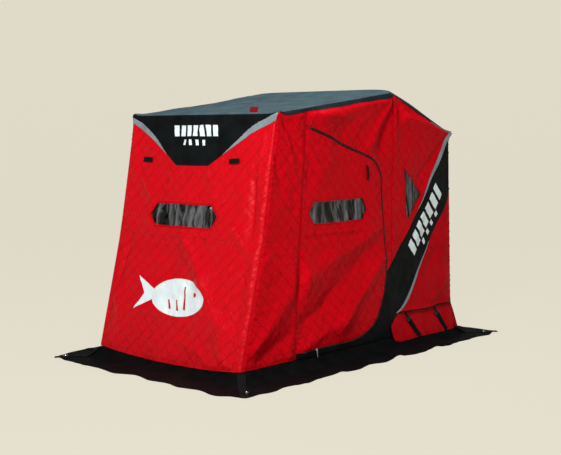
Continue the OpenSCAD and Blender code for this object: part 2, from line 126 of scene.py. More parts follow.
def grown(points, d):
    """A closed outline moved out by d, or in where d is negative."""
    p = np.asarray(points, float)
    before, after = np.roll(p, 1, axis=0), np.roll(p, -1, axis=0)
    turn = np.sum(p[:, 0] * after[:, 1] - p[:, 1] * after[:, 0])
    out = []
    for a, b, c in zip(before, p, after):
        u, v = unit(b - a), unit(c - b)
        n = unit(np.array([u[1] + v[1], -u[0] - v[0]])) * math.copysign(1, turn)
        m = np.array([u[1], -u[0]]) * math.copysign(1, turn)
        out.append(b + n * d / max(float(n @ m), 0.3))
    return np.array(out)


def inside(points, outline):
    """Which of the points lie inside a closed outline."""
    x, y = points[:, 0], points[:, 1]
    found = np.zeros(len(points), bool)
    for a, b in zip(outline, np.roll(outline, -1, axis=0)):
        if a[1] != b[1]:
            crosses = (a[1] > y) != (b[1] > y)
            found ^= crosses & (x < (b[0] - a[0]) * (y - a[1]) / (b[1] - a[1]) + a[0])
    return found


def to_lines(points, line, closed=True):
    """Distance of each point to a polyline, and how far along it the nearest place is."""
    line = np.asarray(line, float)
    ends = np.roll(line, -1, axis=0) if closed else line[1:]
    starts = line if closed else line[:-1]
    best, along, run = np.full(len(points), 1e9), np.zeros(len(points)), 0.0
    for a, b in zip(starts, ends):
        ab = b - a
        length = np.linalg.norm(ab)
        if length < 1e-9:
            continue
        t = np.clip((points - a) @ ab / length ** 2, 0, 1)
        d = np.linalg.norm(points - a - t[:, None] * ab, axis=1)
        near = d < best
        best[near], along[near] = d[near], (run + t * length)[near]
        run += length
    return best, along


def smooth(low, high, x):
    t = np.clip((x - low) / (high - low), 0, 1)
    return t * t * (3 - 2 * t)


def waves(points, size, seed, count=20):
    """Smooth noise of about one unit, with bumps of about that size."""
    rng = np.random.RandomState(seed)
    points = np.asarray(points, float)
    points = points[:, None] if points.ndim == 1 else points
    ways = rng.normal(size=(count, points.shape[1]))
    ways /= np.linalg.norm(ways, axis=1)[:, None]
    ways *= (2 * math.pi / size * rng.uniform(0.55, 1.5, count))[:, None]
    return np.cos(points @ ways.T + rng.uniform(0, 2 * math.pi, count)).sum(1) / math.sqrt(count / 2)


# ---- the walls ----

def front_x(z):
    """The front wall's place in x, with its cross seam rounded."""
    low = (KINK[0] - FOOT[0]) / (KINK[1] - FOOT[1])
    high = (FRONT_TOP[0] - KINK[0]) / (FRONT_TOP[1] - KINK[1])
    t = np.asarray(z) - KINK[1]
    return KINK[0] + high * t + (low - high) * (t - np.sqrt(t * t + KINK_SOFTNESS ** 2)) / 2


def line_at(a, b, t, along):
    """The other coordinate of the line a-b where coordinate number `along` is t."""
    other = 1 - along
    return a[other] + (b[other] - a[other]) * (t - a[along]) / (b[along] - a[along])


def side_top(x):
    """Height of the side wall's upper edge at x."""
    return np.where(x < RIDGE[0], line_at(FRONT_TOP, RIDGE, x, 0), line_at(RIDGE, REAR_TOP, x, 0))


FRONT_N = np.array([-1, 0, (FRONT_TOP[0] - FOOT[0]) / (FRONT_TOP[1] - FOOT[1])])
REAR_N = np.array([1, 0, (HEM[0] - REAR_TOP[0]) / (REAR_TOP[1] - HEM[1])])
ROOF_N = np.array([-(RIDGE[1] - FRONT_TOP[1]) / (RIDGE[0] - FRONT_TOP[0]), 0, 1])
REAR_ROOF_N = np.array([(RIDGE[1] - REAR_TOP[1]) / (REAR_TOP[0] - RIDGE[0]), 0, 1])
FRONT_N, REAR_N, ROOF_N, REAR_ROOF_N = (unit(n) for n in (FRONT_N, REAR_N, ROOF_N, REAR_ROOF_N))


def side_n(s):
    return np.array([0, s, 0])


def rib(xz, y):
    return [np.array([x, y, z]) for x, z in xz]


FRONT_LINE = [(float(front_x(z)), z) for z in np.linspace(FOOT[1], FRONT_TOP[1], 12)]
FRAME_EDGES = []
for s in (-1, 1):
    FRAME_EDGES += [
        (rib(FRONT_LINE, s * HALF_W), FRONT_N + side_n(s), CORNER_ROUND),
        (rib([FRONT_TOP, RIDGE], s * HALF_W), ROOF_N + side_n(s), EDGE_ROUND),
        (rib([RIDGE, REAR_TOP], s * HALF_W), REAR_ROOF_N + side_n(s), EDGE_ROUND),
        (rib([REAR_TOP, HEM], s * HALF_W), REAR_N + side_n(s), EDGE_ROUND)]
for p, n in ((FRONT_TOP, FRONT_N + ROOF_N), (REAR_TOP, REAR_ROOF_N + REAR_N)):
    FRAME_EDGES.append(([np.array([p[0], y, p[1]]) for y in (-HALF_W, HALF_W)], n, EDGE_ROUND))

# How far the loose cloth carries each front corner: forward for the right one, and outward for the left one
RIGHT_FOOT_FORWARD = 0.030
LEFT_FOOT_OUT = 0.040
LEFT_MIDDLE_OUT = 0.014
BOW_REACH = 0.42


def corner_shift(s, height):
    """(forward, outward) shift of a front corner, at a height from 0 at its foot to 1 at its top."""
    still = np.zeros_like(height)
    if s < 0:
        return RIGHT_FOOT_FORWARD * (1 - height), still
    return still, LEFT_FOOT_OUT * (1 - height) ** 2 + LEFT_MIDDLE_OUT * 4 * height * (1 - height)


EAR_SIZE = 0.045
EAR_OUT = 0.026
REAR_EAR_OUT = 0.032
RIDGE_CROWN = 0.026
RIDGE_CROWN_REACH = 0.30
HEM_SAG = 0.044
HEM_SAG_REACH = 0.40


def shell(points):
    """What the frame does to the whole shell: rounded edges, bowed corners, corner balls and a sagging hem."""
    moved = np.zeros_like(points)
    for line, way, r in FRAME_EDGES:
        d, _ = to_lines(points, line, closed=False)
        r = EDGE_ROUND + (r - EDGE_ROUND) * smooth(0, 0.25, FRONT_TOP[1] - points[:, 2])
        moved -= (np.clip(1 - d / r, 0, 1) ** 2 * r)[:, None] * way * (1 - math.sqrt(0.5))
    height = np.clip((points[:, 2] - FOOT[1]) / (FRONT_TOP[1] - FOOT[1]), 0, 1)
    for s in (-1, 1):
        away = np.hypot(points[:, 0] - front_x(points[:, 2]), points[:, 1] - s * HALF_W)
        near = np.exp(-(away / BOW_REACH) ** 2)
        forward, outward = corner_shift(s, height)
        moved[:, 0] -= forward * near
        moved[:, 1] += s * outward * near
        for top, way, out in ((FRONT_TOP, (-0.2, 1.5 * s, 1.2), EAR_OUT),
                              (REAR_TOP, (0.8, s, 0.2), REAR_EAR_OUT)):
            ear = np.array([top[0], s * HALF_W, top[1]])
            w = np.exp(-(np.linalg.norm(points - ear, axis=1) / EAR_SIZE) ** 2)
            moved += w[:, None] * unit(np.array(way)) * out
    across = np.clip(1 - (points[:, 1] / HALF_W) ** 10, 0, 1)
    moved[:, 2] += RIDGE_CROWN * across * np.exp(-((points[:, 0] - RIDGE[0]) / RIDGE_CROWN_REACH) ** 2)
    low = np.clip(1 - (points[:, 2] - FOOT[1]) / HEM_SAG_REACH, 0, 1) ** 2
    front = np.clip(1 - (points[:, 0] - front_x(points[:, 2])) / 0.05, 0, 1)
    moved[:, 2] -= HEM_SAG * low * front * (1 - (points[:, 1] / HALF_W) ** 2)
    return moved


FOLD_SOFTNESS = 0.35


def fold(uv, a, b, height, wide_a, wide_b, ease=0.12):
    """A ridge from a to b, or a valley where height is negative, that widens along its way."""
    a, b = np.asarray(a, float), np.asarray(b, float)
    ab = b - a
    t = (uv - a) @ ab / (ab @ ab)
    q = ((uv - a)[:, 0] * ab[1] - (uv - a)[:, 1] * ab[0]) / np.linalg.norm(ab)
    wide = wide_a + (wide_b - wide_a) * np.clip(t, 0, 1)
    soft = FOLD_SOFTNESS * wide
    profile = np.exp(-(np.hypot(q, soft) - soft) / (0.8 * wide))
    return height * profile * smooth(-0.02, ease, t) * smooth(1.02, 1 - 2 * ease, t)


def bowl(uv, mid, size, height):
    """A round hollow, or a swelling where height is positive."""
    d = (uv - np.asarray(mid)) / np.asarray(size)
    return height * np.exp(-(d ** 2).sum(1))


# Folds of a side wall: start, end, height in millimetres, and half width at the start and the end
SIDE_FOLDS = [
    ((60, 160), (760, 790), 30, 40, 150),
    ((480, 600), (1640, 1000), 26, 110, 70),
    ((120, 110), (1130, 560), -21, 34, 110),
    ((800, 400), (1640, 940), -22, 90, 80),
    ((440, 110), (1280, 350), 26, 60, 90),
    ((1000, 190), (1700, 800), 28, 90, 60),
    ((370, 1866), (1260, 1848), 32, 40, 80),
    ((740, 1820), (1760, 2010), 30, 80, 40),
    ((1738, 2010), (1360, 1545), 32, 18, 90),
    ((1740, 2005), (1530, 1530), -24, 16, 66),
    ((1768, 1990), (1790, 1150), 9, 14, 34),
    ((1790, 2000), (1960, 1600), -12, 16, 70),
    ((1690, 2000), (1100, 1700), 12, 18, 70),
    ((500, 1835), (950, 1340), 18, 16, 56),
    ((600, 1820), (1080, 1400), 10, 14, 46),
    ((400, 1830), (780, 1260), -17, 22, 80),
    ((260, 1790), (450, 1200), -14, 24, 50),
    ((440, 1780), (610, 1250), 10, 14, 36),
    ((220, 870), (580, 620), 14, 40, 60),
    ((590, 985), (1500, 990), 5, 12, 14),
    ((590, 960), (1500, 962), -5, 11, 12),
    ((1830, 1862), (2580, 1724), 44, 40, 60),
    ((2560, 1700), (2060, 1290), -22, 34, 90),
    ((1960, 500), (2480, 760), -10, 40, 70),
    ((2300, 300), (2600, 560), 12, 25, 50),
    ((1840, 262), (2740, 262), 14, 24, 24),
]
SIDE_BOWLS = [
    ((1150, 1060), (360, 300), -10),
    ((1980, 950), (330, 420), -12),
    ((2300, 520), (260, 240), 14),
]
SIDE_CALM = 0.07
HINGE_FOLDS = 0.08
HINGE_CALM = 0.085
HUB_R = 0.056
HUB_MID = (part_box("pivot_hubs")[0].x + HUB_R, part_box("pivot_hubs")[1].z - HUB_R)
POLES = [[*HUB_MID, RIDGE[0] - 0.001, RIDGE[1] - 0.03], [*HUB_MID, REAR_TOP[0] - 0.022, REAR_TOP[1] - 0.02]]
POLE_SINK = 0.0035
POLE_SLOPE = 0.30


def over_poles(uv, depth):
    """Keeps the cloth on the poles it is stretched over."""
    d = np.min([to_lines(uv, [pole[:2], pole[2:]], closed=False)[0] for pole in POLES], axis=0)
    lowest = -POLE_SINK - POLE_SLOPE * np.maximum(d - TUBE_R, 0)
    over = depth - lowest
    return lowest + (over + np.sqrt(over ** 2 + 0.003 ** 2)) / 2


def side_depth(uv, seed):
    folds = sum(fold(uv, at(*a), at(*b), h / 1000, wa / 1000, wb / 1000) for a, b, h, wa, wb in SIDE_FOLDS)
    folds += sum(bowl(uv, at(*m), np.array(size) / 1000, h / 1000) for m, size, h in SIDE_BOWLS)
    folds += 0.0030 * waves(uv * [1, 0.7], 0.34, seed) + 0.0010 * waves(uv, 0.14, seed + 1)
    edge = np.minimum(side_top(uv[:, 0]) - uv[:, 1], uv[:, 0] - front_x(uv[:, 1]))
    edge = np.minimum(edge, line_at(REAR_TOP, HEM, uv[:, 1], 1) - uv[:, 0])
    from_hinge = np.abs(uv[:, 0] - HINGE_FOOT[0] - (uv[:, 1] - SILL_Z) * math.tan(HINGE_LEAN))
    folds *= HINGE_FOLDS + (1 - HINGE_FOLDS) * smooth(0, HINGE_CALM, from_hinge)
    return over_poles(uv, folds) * smooth(0, SIDE_CALM, edge)


# Folds of the front wall, in the same way, with y for the first coordinate
FRONT_FOLDS = [
    ((90, 990), (-330, 530), 26, 40, 100),
    ((-170, 720), (-650, 50), 30, 70, 100),
    ((590, 990), (752, 90), -18, 30, 46),
    ((-420, 1060), (-735, 800), 14, 24, 60),
    ((-735, 830), (-240, 560), 12, 40, 70),
    ((-600, 1430), (-635, 980), -16, 26, 34),
    ((-660, 1740), (-640, 1300), 10, 24, 34),
    ((500, 430), (-320, 320), 15, 50, 70),
    ((-655, 720), (-390, 420), -14, 30, 60),
    ((-380, 440), (-710, 240), 13, 40, 56),
    ((-100, 240), (-600, 80), 14, 34, 60),
    ((-430, 946), (520, 938), -6, 9, 9),
    ((-430, 970), (520, 962), 6, 11, 11),
    ((600, 1440), (130, 950), 9, 24, 60),
    ((220, 1480), (270, 1220), 9, 16, 34),
    ((-120, 1480), (-250, 1220), 9, 16, 34),
    ((-150, 1860), (260, 1500), 10, 20, 60),
    ((720, 1780), (560, 1220), 9, 24, 50),
    ((-600, 1640), (-640, 180), -13, 50, 60),
    ((-706, 1640), (-706, 160), 9, 26, 30),
    ((700, 620), (500, 130), 10, 30, 60),
]
FRONT_BOWLS = [((120, 700), (330, 280), -26), ((0, 1560), (300, 260), 10), ((60, 1114), (430, 130), 9)]


def front_depth(uv, seed):
    mm = uv * 1000
    folds = sum(fold(mm, *f) for f in FRONT_FOLDS) + sum(bowl(mm, *b) for b in FRONT_BOWLS)
    folds = folds / 1000 + 0.0030 * waves(uv, 0.30, seed) + 0.0012 * waves(uv, 0.14, seed + 1)
    edge = np.minimum(HALF_W - np.abs(uv[:, 0]), FRONT_TOP[1] - uv[:, 1])
    return folds * smooth(0, 0.06, edge)


def rear_depth(uv, seed):
    t = np.clip(np.abs(uv[:, 0]) / HALF_W, 0, 1)
    height = (uv[:, 1] - HEM[1]) / (REAR_TOP[1] - HEM[1])
    folds = -0.016 * (1 - t ** 2) * np.sin(math.pi * np.clip(height, 0, 1))
    for s in (-1, 1):
        folds += fold(uv, (s * 0.72, 1.70), (s * 0.10, 0.90), 0.009, 0.02, 0.09)
        folds += fold(uv, (s * 0.72, 0.30), (s * 0.10, 0.85), 0.010, 0.03, 0.10)
        folds += fold(uv, (s * 0.60, 1.66), (s * 0.45, 0.60), -0.007, 0.03, 0.08)
    folds += 0.003 * waves(uv, 0.28, seed) + 0.0016 * waves(uv, 0.12, seed + 1)
    return folds * smooth(0, 0.07, np.minimum(HALF_W - np.abs(uv[:, 0]), REAR_TOP[1] - uv[:, 1]))


ROOF_RIBS = 5


def roof_depth(uv, a, b, crown, seed):
    t = np.clip((uv[:, 0] - a[0]) / (b[0] - a[0]), 0, 1)
    across = np.clip(np.abs(uv[:, 1]) / HALF_W, 0, 1)
    sag = crown * 4 * t * (1 - t) * (1 - 0.3 * across ** 2)
    ribs = 0.0035 * np.abs(np.cos(math.pi * ROOF_RIBS * uv[:, 1] / HALF_W)) ** 3 * np.sin(math.pi * t)
    return sag + ribs + (0.0025 * waves(uv * [0.35, 1], 0.16, seed)) * smooth(0, 0.06, t) * smooth(1, 0.94, t)


class Wall:
    """A surface of the shell: place(uv) gives points, n its outward normal, depth(uv) its folds."""

    def __init__(self, place, n, depth):
        self.place, self.n, self.depth = place, np.asarray(n, float), depth

    def points(self, uv, out):
        base = self.place(uv)
        return base + shell(base) + (self.depth(uv) + out)[:, None] * self.n


class LooseWall(Wall):
    """Cloth that hangs or lies clear of the shell, so the shell's rounding leaves it alone."""

    def points(self, uv, out):
        return self.place(uv) + np.outer(self.depth(uv) + out, self.n)


SWAY = 0.0045
SWAY_CALM = 0.12
ROOF_DROP = 0.036


def side_sway(uv, seed):
    """The wall's own slack in its plane, which makes its seams run a little off straight."""
    edge = np.minimum(side_top(uv[:, 0]) - uv[:, 1], uv[:, 0] - front_x(uv[:, 1]))
    edge = np.minimum(edge, line_at(REAR_TOP, HEM, uv[:, 1], 1) - uv[:, 0])
    loose = (SWAY * smooth(0, SWAY_CALM, edge) * smooth(0, SWAY_CALM, uv[:, 1] - FOOT[1]))[:, None]
    return uv + loose * np.column_stack([waves(uv, 0.42, seed), 0.7 * waves(uv, 0.50, seed + 1)])


def side_wall(s):
    def place(uv):
        moved = side_sway(uv, 70 + s)
        return np.column_stack([moved[:, 0], np.full(len(uv), s * HALF_W), moved[:, 1]])
    return Wall(place, side_n(s), lambda uv: side_depth(uv, 10 + s))


def end_wall(x_of, n, depth):
    return Wall(lambda uv: np.column_stack([x_of(uv[:, 1]), uv[:, 0], uv[:, 1]]), n, depth)


def roof_wall(a, b, n, crown, seed):
    return Wall(
        lambda uv: np.column_stack([uv[:, 0], uv[:, 1], line_at(a, b, uv[:, 0], 0)]),
        n, lambda uv: roof_depth(uv, a, b, crown, seed))


FRONT = end_wall(front_x, FRONT_N, lambda uv: front_depth(uv, 31))
REAR = end_wall(lambda z: line_at(REAR_TOP, HEM, z, 1), REAR_N, lambda uv: rear_depth(uv, 41))
ROOF = roof_wall(FRONT_TOP, RIDGE, ROOF_N, -0.010, 51)
REAR_ROOF = roof_wall(RIDGE, REAR_TOP, REAR_ROOF_N, 0.012, 61)
SIDE = {side: side_wall(s) for side, s in SIDES.items()}


# ---- panels ----

QUILT_DEPTH = 0.0022
SIDE_QUILT_DEPTH = 0.0014
CREASE_DEPTH = 0.0040
PUCKER = 0.0044
PUCKER_FROM = 0.010


def creases(uv, seed):
    """Short sharp creases of slack cloth, from 0 to about 1."""
    bent = uv + 0.012 * np.column_stack([waves(uv, 0.16, seed), waves(uv, 0.16, seed + 1)])
    lines = 1 / (1 + (waves(bent * [0.8, 1], 0.080, seed + 2) / 0.36) ** 2)
    return lines * smooth(-0.3, 1.0, waves(uv, 0.085, seed + 3)) * smooth(-1.3, 0.9, waves(uv, 0.32, seed + 4))


class Panel:
    """A piece of cloth on a wall: its outline, its holes, and the detail that fades at its seams."""

    def __init__(self, wall, outline, holes=(), quilted=True, calm=(), pucker=PUCKER, seed=0):
        self.wall, self.quilted, self.calm, self.pucker, self.seed = wall, quilted, calm, pucker, seed
        self.on_side = wall in SIDE.values()
        self.quilt_depth = SIDE_QUILT_DEPTH if self.on_side else QUILT_DEPTH
        self.outline = np.asarray(outline, float)
        self.holes = [np.asarray(h, float) for h in holes]

    def detail(self, uv):
        near, along = to_lines(uv, self.outline)
        for hole in self.holes:
            d, run = to_lines(uv, hole)
            along = np.where(d < near, run + 7, along)
            near = np.minimum(near, d)
        free = smooth(PUCKER_FROM, 0.04, near)
        tucks = np.maximum(waves(along, 0.040, self.seed + 5) + 0.3, 0)
        out = self.pucker * np.exp(-near / 0.045) * smooth(PUCKER_FROM, 0.024, near) * tucks
        if self.quilted:
            a, b = uv[:, 0] / QUILT_W + uv[:, 1] / QUILT_H, uv[:, 0] / QUILT_W - uv[:, 1] / QUILT_H
            pillow = np.abs(np.sin(math.pi * a) * np.sin(math.pi * b)) ** 0.6
            puff = 0.72 + 0.28 * waves(uv, 0.25, self.seed + 2)
            for zone in self.calm:
                puff = np.where(inside(uv, zone), 0, puff * smooth(0, 0.02, to_lines(uv, zone)[0]))
            out += self.quilt_depth * pillow * puff * free
            out += (0.0004 * waves(uv, 0.026, self.seed + 3) + 0.0008 * waves(uv, 0.075, self.seed + 6)) * free
            out += CREASE_DEPTH * (0.45 + 0.9 * np.exp(-near / 0.07)) * creases(uv, self.seed + 7) * free
        else:
            out += 0.0006 * waves(uv, 0.05, self.seed + 4) * free
        return out * smooth(ROOF_DROP, ROOF_DROP + 0.03, side_top(uv[:, 0]) - uv[:, 1]) if self.on_side else out

    def points(self, uv, lift=0.0):
        return self.wall.points(uv, self.detail(uv) + lift)


def lattice(low, high, quilted, step):
    """Points of the quilting's own lattice, or of a square grid."""
    if not quilted:
        u, v = (np.arange(a + step / 2, b, step) for a, b in zip(low, high))
        return np.array(np.meshgrid(u, v)).reshape(2, -1).T
    n = QUILT_CELLS
    reach_u, reach_v = 2 * n / QUILT_W, 2 * n / QUILT_H
    i_plus_j = np.arange(math.floor(low[0] * reach_u), math.ceil(high[0] * reach_u) + 1)
    i_minus_j = np.arange(math.floor(low[1] * reach_v), math.ceil(high[1] * reach_v) + 1)
    p, m = np.array(np.meshgrid(i_plus_j, i_minus_j)).reshape(2, -1)
    even = (p + m) % 2 == 0
    return np.column_stack([p[even] / reach_u, m[even] / reach_v])


def triangulate(outline, holes, quilted, step):
    """(points, triangles) of the flat shape, on the quilting's lattice or a square grid."""
    edge_step = step * 0.9
    loops = [densify(loop, edge_step) for loop in [outline, *holes]]
    grid = lattice(loops[0].min(0), loops[0].max(0), quilted, step)
    keep = inside(grid, loops[0])
    for loop in loops[1:]:
        keep &= ~inside(grid, loop)
    grid = grid[keep]
    for loop in loops:
        grid = grid[to_lines(grid, loop)[0] > 0.45 * step]
    verts, edges, start = [], [], 0
    for loop in loops:
        verts += [Vector(p) for p in loop]
        edges += [(start + i, start + (i + 1) % len(loop)) for i in range(len(loop))]
        start += len(loop)
    verts += [Vector(p) for p in grid]
    got, _, faces, *_ = delaunay_2d_cdt(verts, edges, [], 1, 1e-7)
    uv = np.array([p[:] for p in got])
    faces = np.array([f for f in faces if len(f) == 3])
    middle = uv[faces].mean(1)
    for loop in holes:
        gone = inside(middle, loop)
        faces, middle = faces[~gone], middle[~gone]
    area = np.cross(uv[faces[:, 1]] - uv[faces[:, 0]], uv[faces[:, 2]] - uv[faces[:, 0]])
    faces[area < 0] = faces[area < 0][:, ::-1]
    used = np.unique(faces)
    renumber = np.full(len(uv), -1)
    renumber[used] = np.arange(len(used))
    return uv[used], renumber[faces]


def rims(faces):
    """Directed edges that only one triangle has."""
    edges = np.concatenate([faces[:, [0, 1]], faces[:, [1, 2]], faces[:, [2, 0]]])
    size = faces.max() + 1
    keys, back = edges[:, 0] * size + edges[:, 1], edges[:, 1] * size + edges[:, 0]
    return edges[~np.isin(keys, back)]


def make_object(name, verts, faces, materials, face_slots=None, sharp=50):
    mesh = bpy.data.meshes.new(name)
    mesh.from_pydata([tuple(v) for v in verts], [], [tuple(int(i) for i in f) for f in faces])
    for m in materials:
        mesh.materials.append(m)
    mesh.polygons.foreach_set("use_smooth", np.ones(len(mesh.polygons), bool))
    if face_slots is not None:
        mesh.polygons.foreach_set("material_index", np.asarray(face_slots, np.int32))
    mesh.update()
    mesh.set_sharp_from_angle(angle=math.radians(sharp))
    obj = bpy.data.objects.new(name, mesh)
    bpy.context.scene.collection.objects.link(obj)
    return obj


def two_faced(name, outer, inner, faces, materials):
    """A closed sheet from its outer and inner points; the inner face takes the last material."""
    n = len(outer)
    if np.cross(outer[faces[0][1]] - outer[faces[0][0]], outer[faces[0][2]] - outer[faces[0][0]]) @ (
            outer[faces[0][0]] - inner[faces[0][0]]) < 0:
        faces = faces[:, ::-1]
    edges = rims(faces)
    sides = [(b, a, a + n, b + n) for a, b in edges]
    all_faces = [*faces, *(faces[:, ::-1] + n), *sides]
    slots = [0] * len(faces) + [len(materials) - 1] * len(faces) + [0] * len(sides)
    return make_object(name, np.vstack([outer, inner]), all_faces, materials, slots)


def settle(obj, body, nodes=()):
    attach(obj, body)
    if nodes:
        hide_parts(*nodes)
    return obj


def flat_area(uv, faces):
    flat = uv[faces]
    return float(np.abs(np.cross(flat[:, 1] - flat[:, 0], flat[:, 2] - flat[:, 0])).sum() / 2)


LEAST_SHARE = 0.3001


def cloth(name, panel, materials, body="root", nodes=(), step=0.0105,
          thick=CLOTH, lift=0.0):
    """A panel as a closed sheet of cloth."""
    uv, faces = triangulate(panel.outline, panel.holes, panel.quilted, step)
    outer = panel.points(uv, lift)
    inner = outer - panel.wall.n * thick
    obj = two_faced(name, outer, inner, faces, materials)
    area = flat_area(uv, faces)
    size = np.ptp(panel.outline, axis=0)
    settle(obj, body, nodes)
    shape = {} if area > 0.98 * size.prod() else {"area": max(area, LEAST_SHARE * size.prod())}
    return obj


def patch(name, panel, outline, material, body="root", nodes=(), lift=0.0012, thick=0.0008,
          step=0.011, holes=()):
    """Trim or a printed mark that lies on a panel and follows its folds."""
    uv, faces = triangulate(np.asarray(outline, float), holes, panel.quilted, step)
    outer = panel.points(uv, lift)
    obj = two_faced(name, outer, outer - panel.wall.n * thick, faces, [material])
    return settle(obj, body, nodes)


# ---- materials ----

class Nodes:
    """Short names for building a material's nodes."""

    def __init__(self, name):
        self.material = bpy.data.materials.new(name)
        self.material.use_nodes = True
        self.tree = self.material.node_tree
        self.shader = self.tree.nodes["Principled BSDF"]
        self.place = self.tree.nodes.new("ShaderNodeTexCoord").outputs["Object"]

    def link(self, value, socket):
        if isinstance(value, bpy.types.NodeSocket):
            self.tree.links.new(value, socket)
        else:
            socket.default_value = value

    def set(self, **values):
        for name, value in values.items():
            self.link(value, self.shader.inputs[name.replace("_", " ")])

    def math(self, how, a, b=0.0, c=0.0):
        node = self.tree.nodes.new("ShaderNodeMath")
        node.operation = how
        for socket, value in zip(node.inputs, (a, b, c)):
            self.link(value, socket)
        return node.outputs[0]

    def split(self, vector):
        node = self.tree.nodes.new("ShaderNodeSeparateXYZ")
        self.link(vector, node.inputs[0])
        return node.outputs

    def scaled(self, x, y, z):
        node = self.tree.nodes.new("ShaderNodeMapping")
        self.link(self.place, node.inputs["Vector"])
        node.inputs["Scale"].default_value = (x, y, z)
        return node.outputs[0]

    def noise(self, scale, detail=3.0, rough=0.55, where=None, distortion=0.0):
        node = self.tree.nodes.new("ShaderNodeTexNoise")
        self.link(where if where is not None else self.place, node.inputs["Vector"])
        for name, value in (("Scale", scale), ("Detail", detail), ("Roughness", rough), ("Distortion", distortion)):
            node.inputs[name].default_value = value
        return node.outputs["Fac"]

    def ramp(self, value, low, high, out_low=0.0, out_high=1.0):
        node = self.tree.nodes.new("ShaderNodeMapRange")
        for name, v in (("Value", value), ("From Min", low), ("From Max", high), ("To Min", out_low),
                        ("To Max", out_high)):
            self.link(v, node.inputs[name])
        return node.outputs[0]

    def mix(self, share, a, b):
        node = self.tree.nodes.new("ShaderNodeMix")
        node.data_type = "RGBA"
        self.link(share, node.inputs[0])
        self.link(a, node.inputs[6])
        self.link(b, node.inputs[7])
        return node.outputs[2]

    def bump(self, height, strength, distance, below=None):
        node = self.tree.nodes.new("ShaderNodeBump")
        self.link(height, node.inputs["Height"])
        node.inputs["Strength"].default_value = strength
        node.inputs["Distance"].default_value = distance
        if below is not None:
            self.link(below, node.inputs["Normal"])
        return node.outputs[0]


def rgb(r, g, b):
    """A linear colour from screen values of 0 to 255."""
    return tuple(c / 12.92 if c <= 0.04045 else ((c + 0.055) / 1.055) ** 2.4 for c in (r / 255, g / 255, b / 255)) + (1,)


def weave(n, pitch):
    """Crossed threads, as a height."""
    x, y, z = n.split(n.place)
    rows = [n.math("SINE", n.math("MULTIPLY", c, 2 * math.pi / pitch)) for c in (n.math("ADD", x, y), z)]
    return n.math("MULTIPLY", rows[0], rows[1])


def quilt_lines(n, across):
    """0 on the stitch lines of the quilting and 1 between them; `across` is the wall's level coordinate."""
    a = n.math("DIVIDE", across, QUILT_W)
    b = n.math("DIVIDE", n.split(n.place)[2], QUILT_H)
    sides = [n.math("ABSOLUTE", n.math("SUBTRACT", n.math("FRACT", n.math(how, a, b)), 0.5)) for how in
             ("ADD", "SUBTRACT")]
    nearest = n.math("MAXIMUM", *sides)
    return n.ramp(nearest, 0.5, 0.465)


def quilted_material(name, level, gloss):
    """Satin polyester quilted in diamonds. `level` is the level coordinate of the wall, 0 for x and 1 for y."""
    n = Nodes(name)
    lines = quilt_lines(n, n.split(n.place)[level])
    tone = n.mix(n.noise(2.3, 2.0), rgb(166, 1, 14), rgb(180, 3, 18))
    # The darker red along the stitch lines is painted shade of the stitched valleys.
    n.set(Base_Color=n.mix(lines, rgb(154, 0, 10), tone))
    crinkle = n.noise(38, 4.0, 0.6, distortion=1.1)
    fine = n.noise(170, 2.0, 0.5)
    off = n.math("ABSOLUTE", n.math("SUBTRACT", n.noise(17, 1.5, 0.5, distortion=0.9), 0.5))
    strokes = n.math("MULTIPLY", n.ramp(off, 0.0, 0.045, 1.0, 0.0), n.ramp(n.noise(9, 2.0), 0.44, 0.60))
    normal = n.bump(lines, 0.75, 0.0030)
    normal = n.bump(strokes, 0.7, 0.0034, normal)
    normal = n.bump(crinkle, 0.45, 0.0034, normal)
    normal = n.bump(fine, 0.25, 0.0012, normal)
    n.set(Normal=n.bump(weave(n, 0.0011), 0.10, 0.0003, normal), Roughness=n.ramp(crinkle, 0.3, 0.7, 0.36, 0.50))
    n.set(Specular_IOR_Level=gloss)
    return n.material


def plain_cloth(name, dark, light, roughness, crinkle_scale=30, crinkle=0.35, gloss=0.08, pitch=0.0012):
    """Coated cloth of one colour, with creases and a fine weave."""
    n = Nodes(name)
    n.set(Base_Color=n.mix(n.ramp(n.noise(6, 4.0), 0.35, 0.65), dark, light))
    creases = n.noise(crinkle_scale, 4.0, 0.6, distortion=1.2)
    normal = n.bump(creases, crinkle, 0.004)
    n.set(Normal=n.bump(weave(n, pitch), 0.18, 0.0004, normal), Roughness=n.ramp(creases, 0.3, 0.7, *roughness))
    n.set(Specular_IOR_Level=gloss)
    return n.material


def webbing_material(name, colour):
    n = Nodes(name)
    x, y, z = n.split(n.place)
    ribs = n.math("SINE", n.math("MULTIPLY", n.math("ADD", n.math("ADD", x, y), z), 2 * math.pi / 0.0026))
    # The colour darkens towards black in the grooves between the ribs: painted shade.
    n.set(Base_Color=n.mix(n.ramp(ribs, -1, 1), (0.002, 0.002, 0.002, 1), colour), Roughness=0.8)
    n.set(Normal=n.bump(ribs, 0.5, 0.0006), Specular_IOR_Level=0.1)
    return n.material


def film_material(name):
    """Tinted soft film with streaky wrinkles; the lighter grey streaks in its colour are painted reflection on the
    wrinkles.
    """
    n = Nodes(name)
    wrinkles_and_sheen = n.noise(5, 2.0, 0.55, where=n.scaled(3.4, 3.4, 0.5), distortion=0.6)
    # The lighter grey follows the wrinkles: painted reflection.
    n.set(Base_Color=n.mix(n.ramp(wrinkles_and_sheen, 0.44, 0.62), rgb(2, 2, 3), rgb(82, 84, 88)))
    n.set(Roughness=n.ramp(n.noise(30), 0.3, 0.7, 0.06, 0.16), Specular_IOR_Level=0.22)
    n.set(Normal=n.bump(wrinkles_and_sheen, 1.0, 0.010))
    return n.material


def plastic_material(name, colour, roughness, grain=900):
    n = Nodes(name)
    n.set(Base_Color=n.mix(n.noise(4, 3.0), colour, tuple(c * 1.5 for c in colour[:3]) + (1,)))
    n.set(Roughness=n.ramp(n.noise(18, 4.0), 0.3, 0.7, roughness - 0.07, roughness + 0.07))
    n.set(Normal=n.bump(n.noise(grain, 2.0), 0.15, 0.0004))
    return n.material


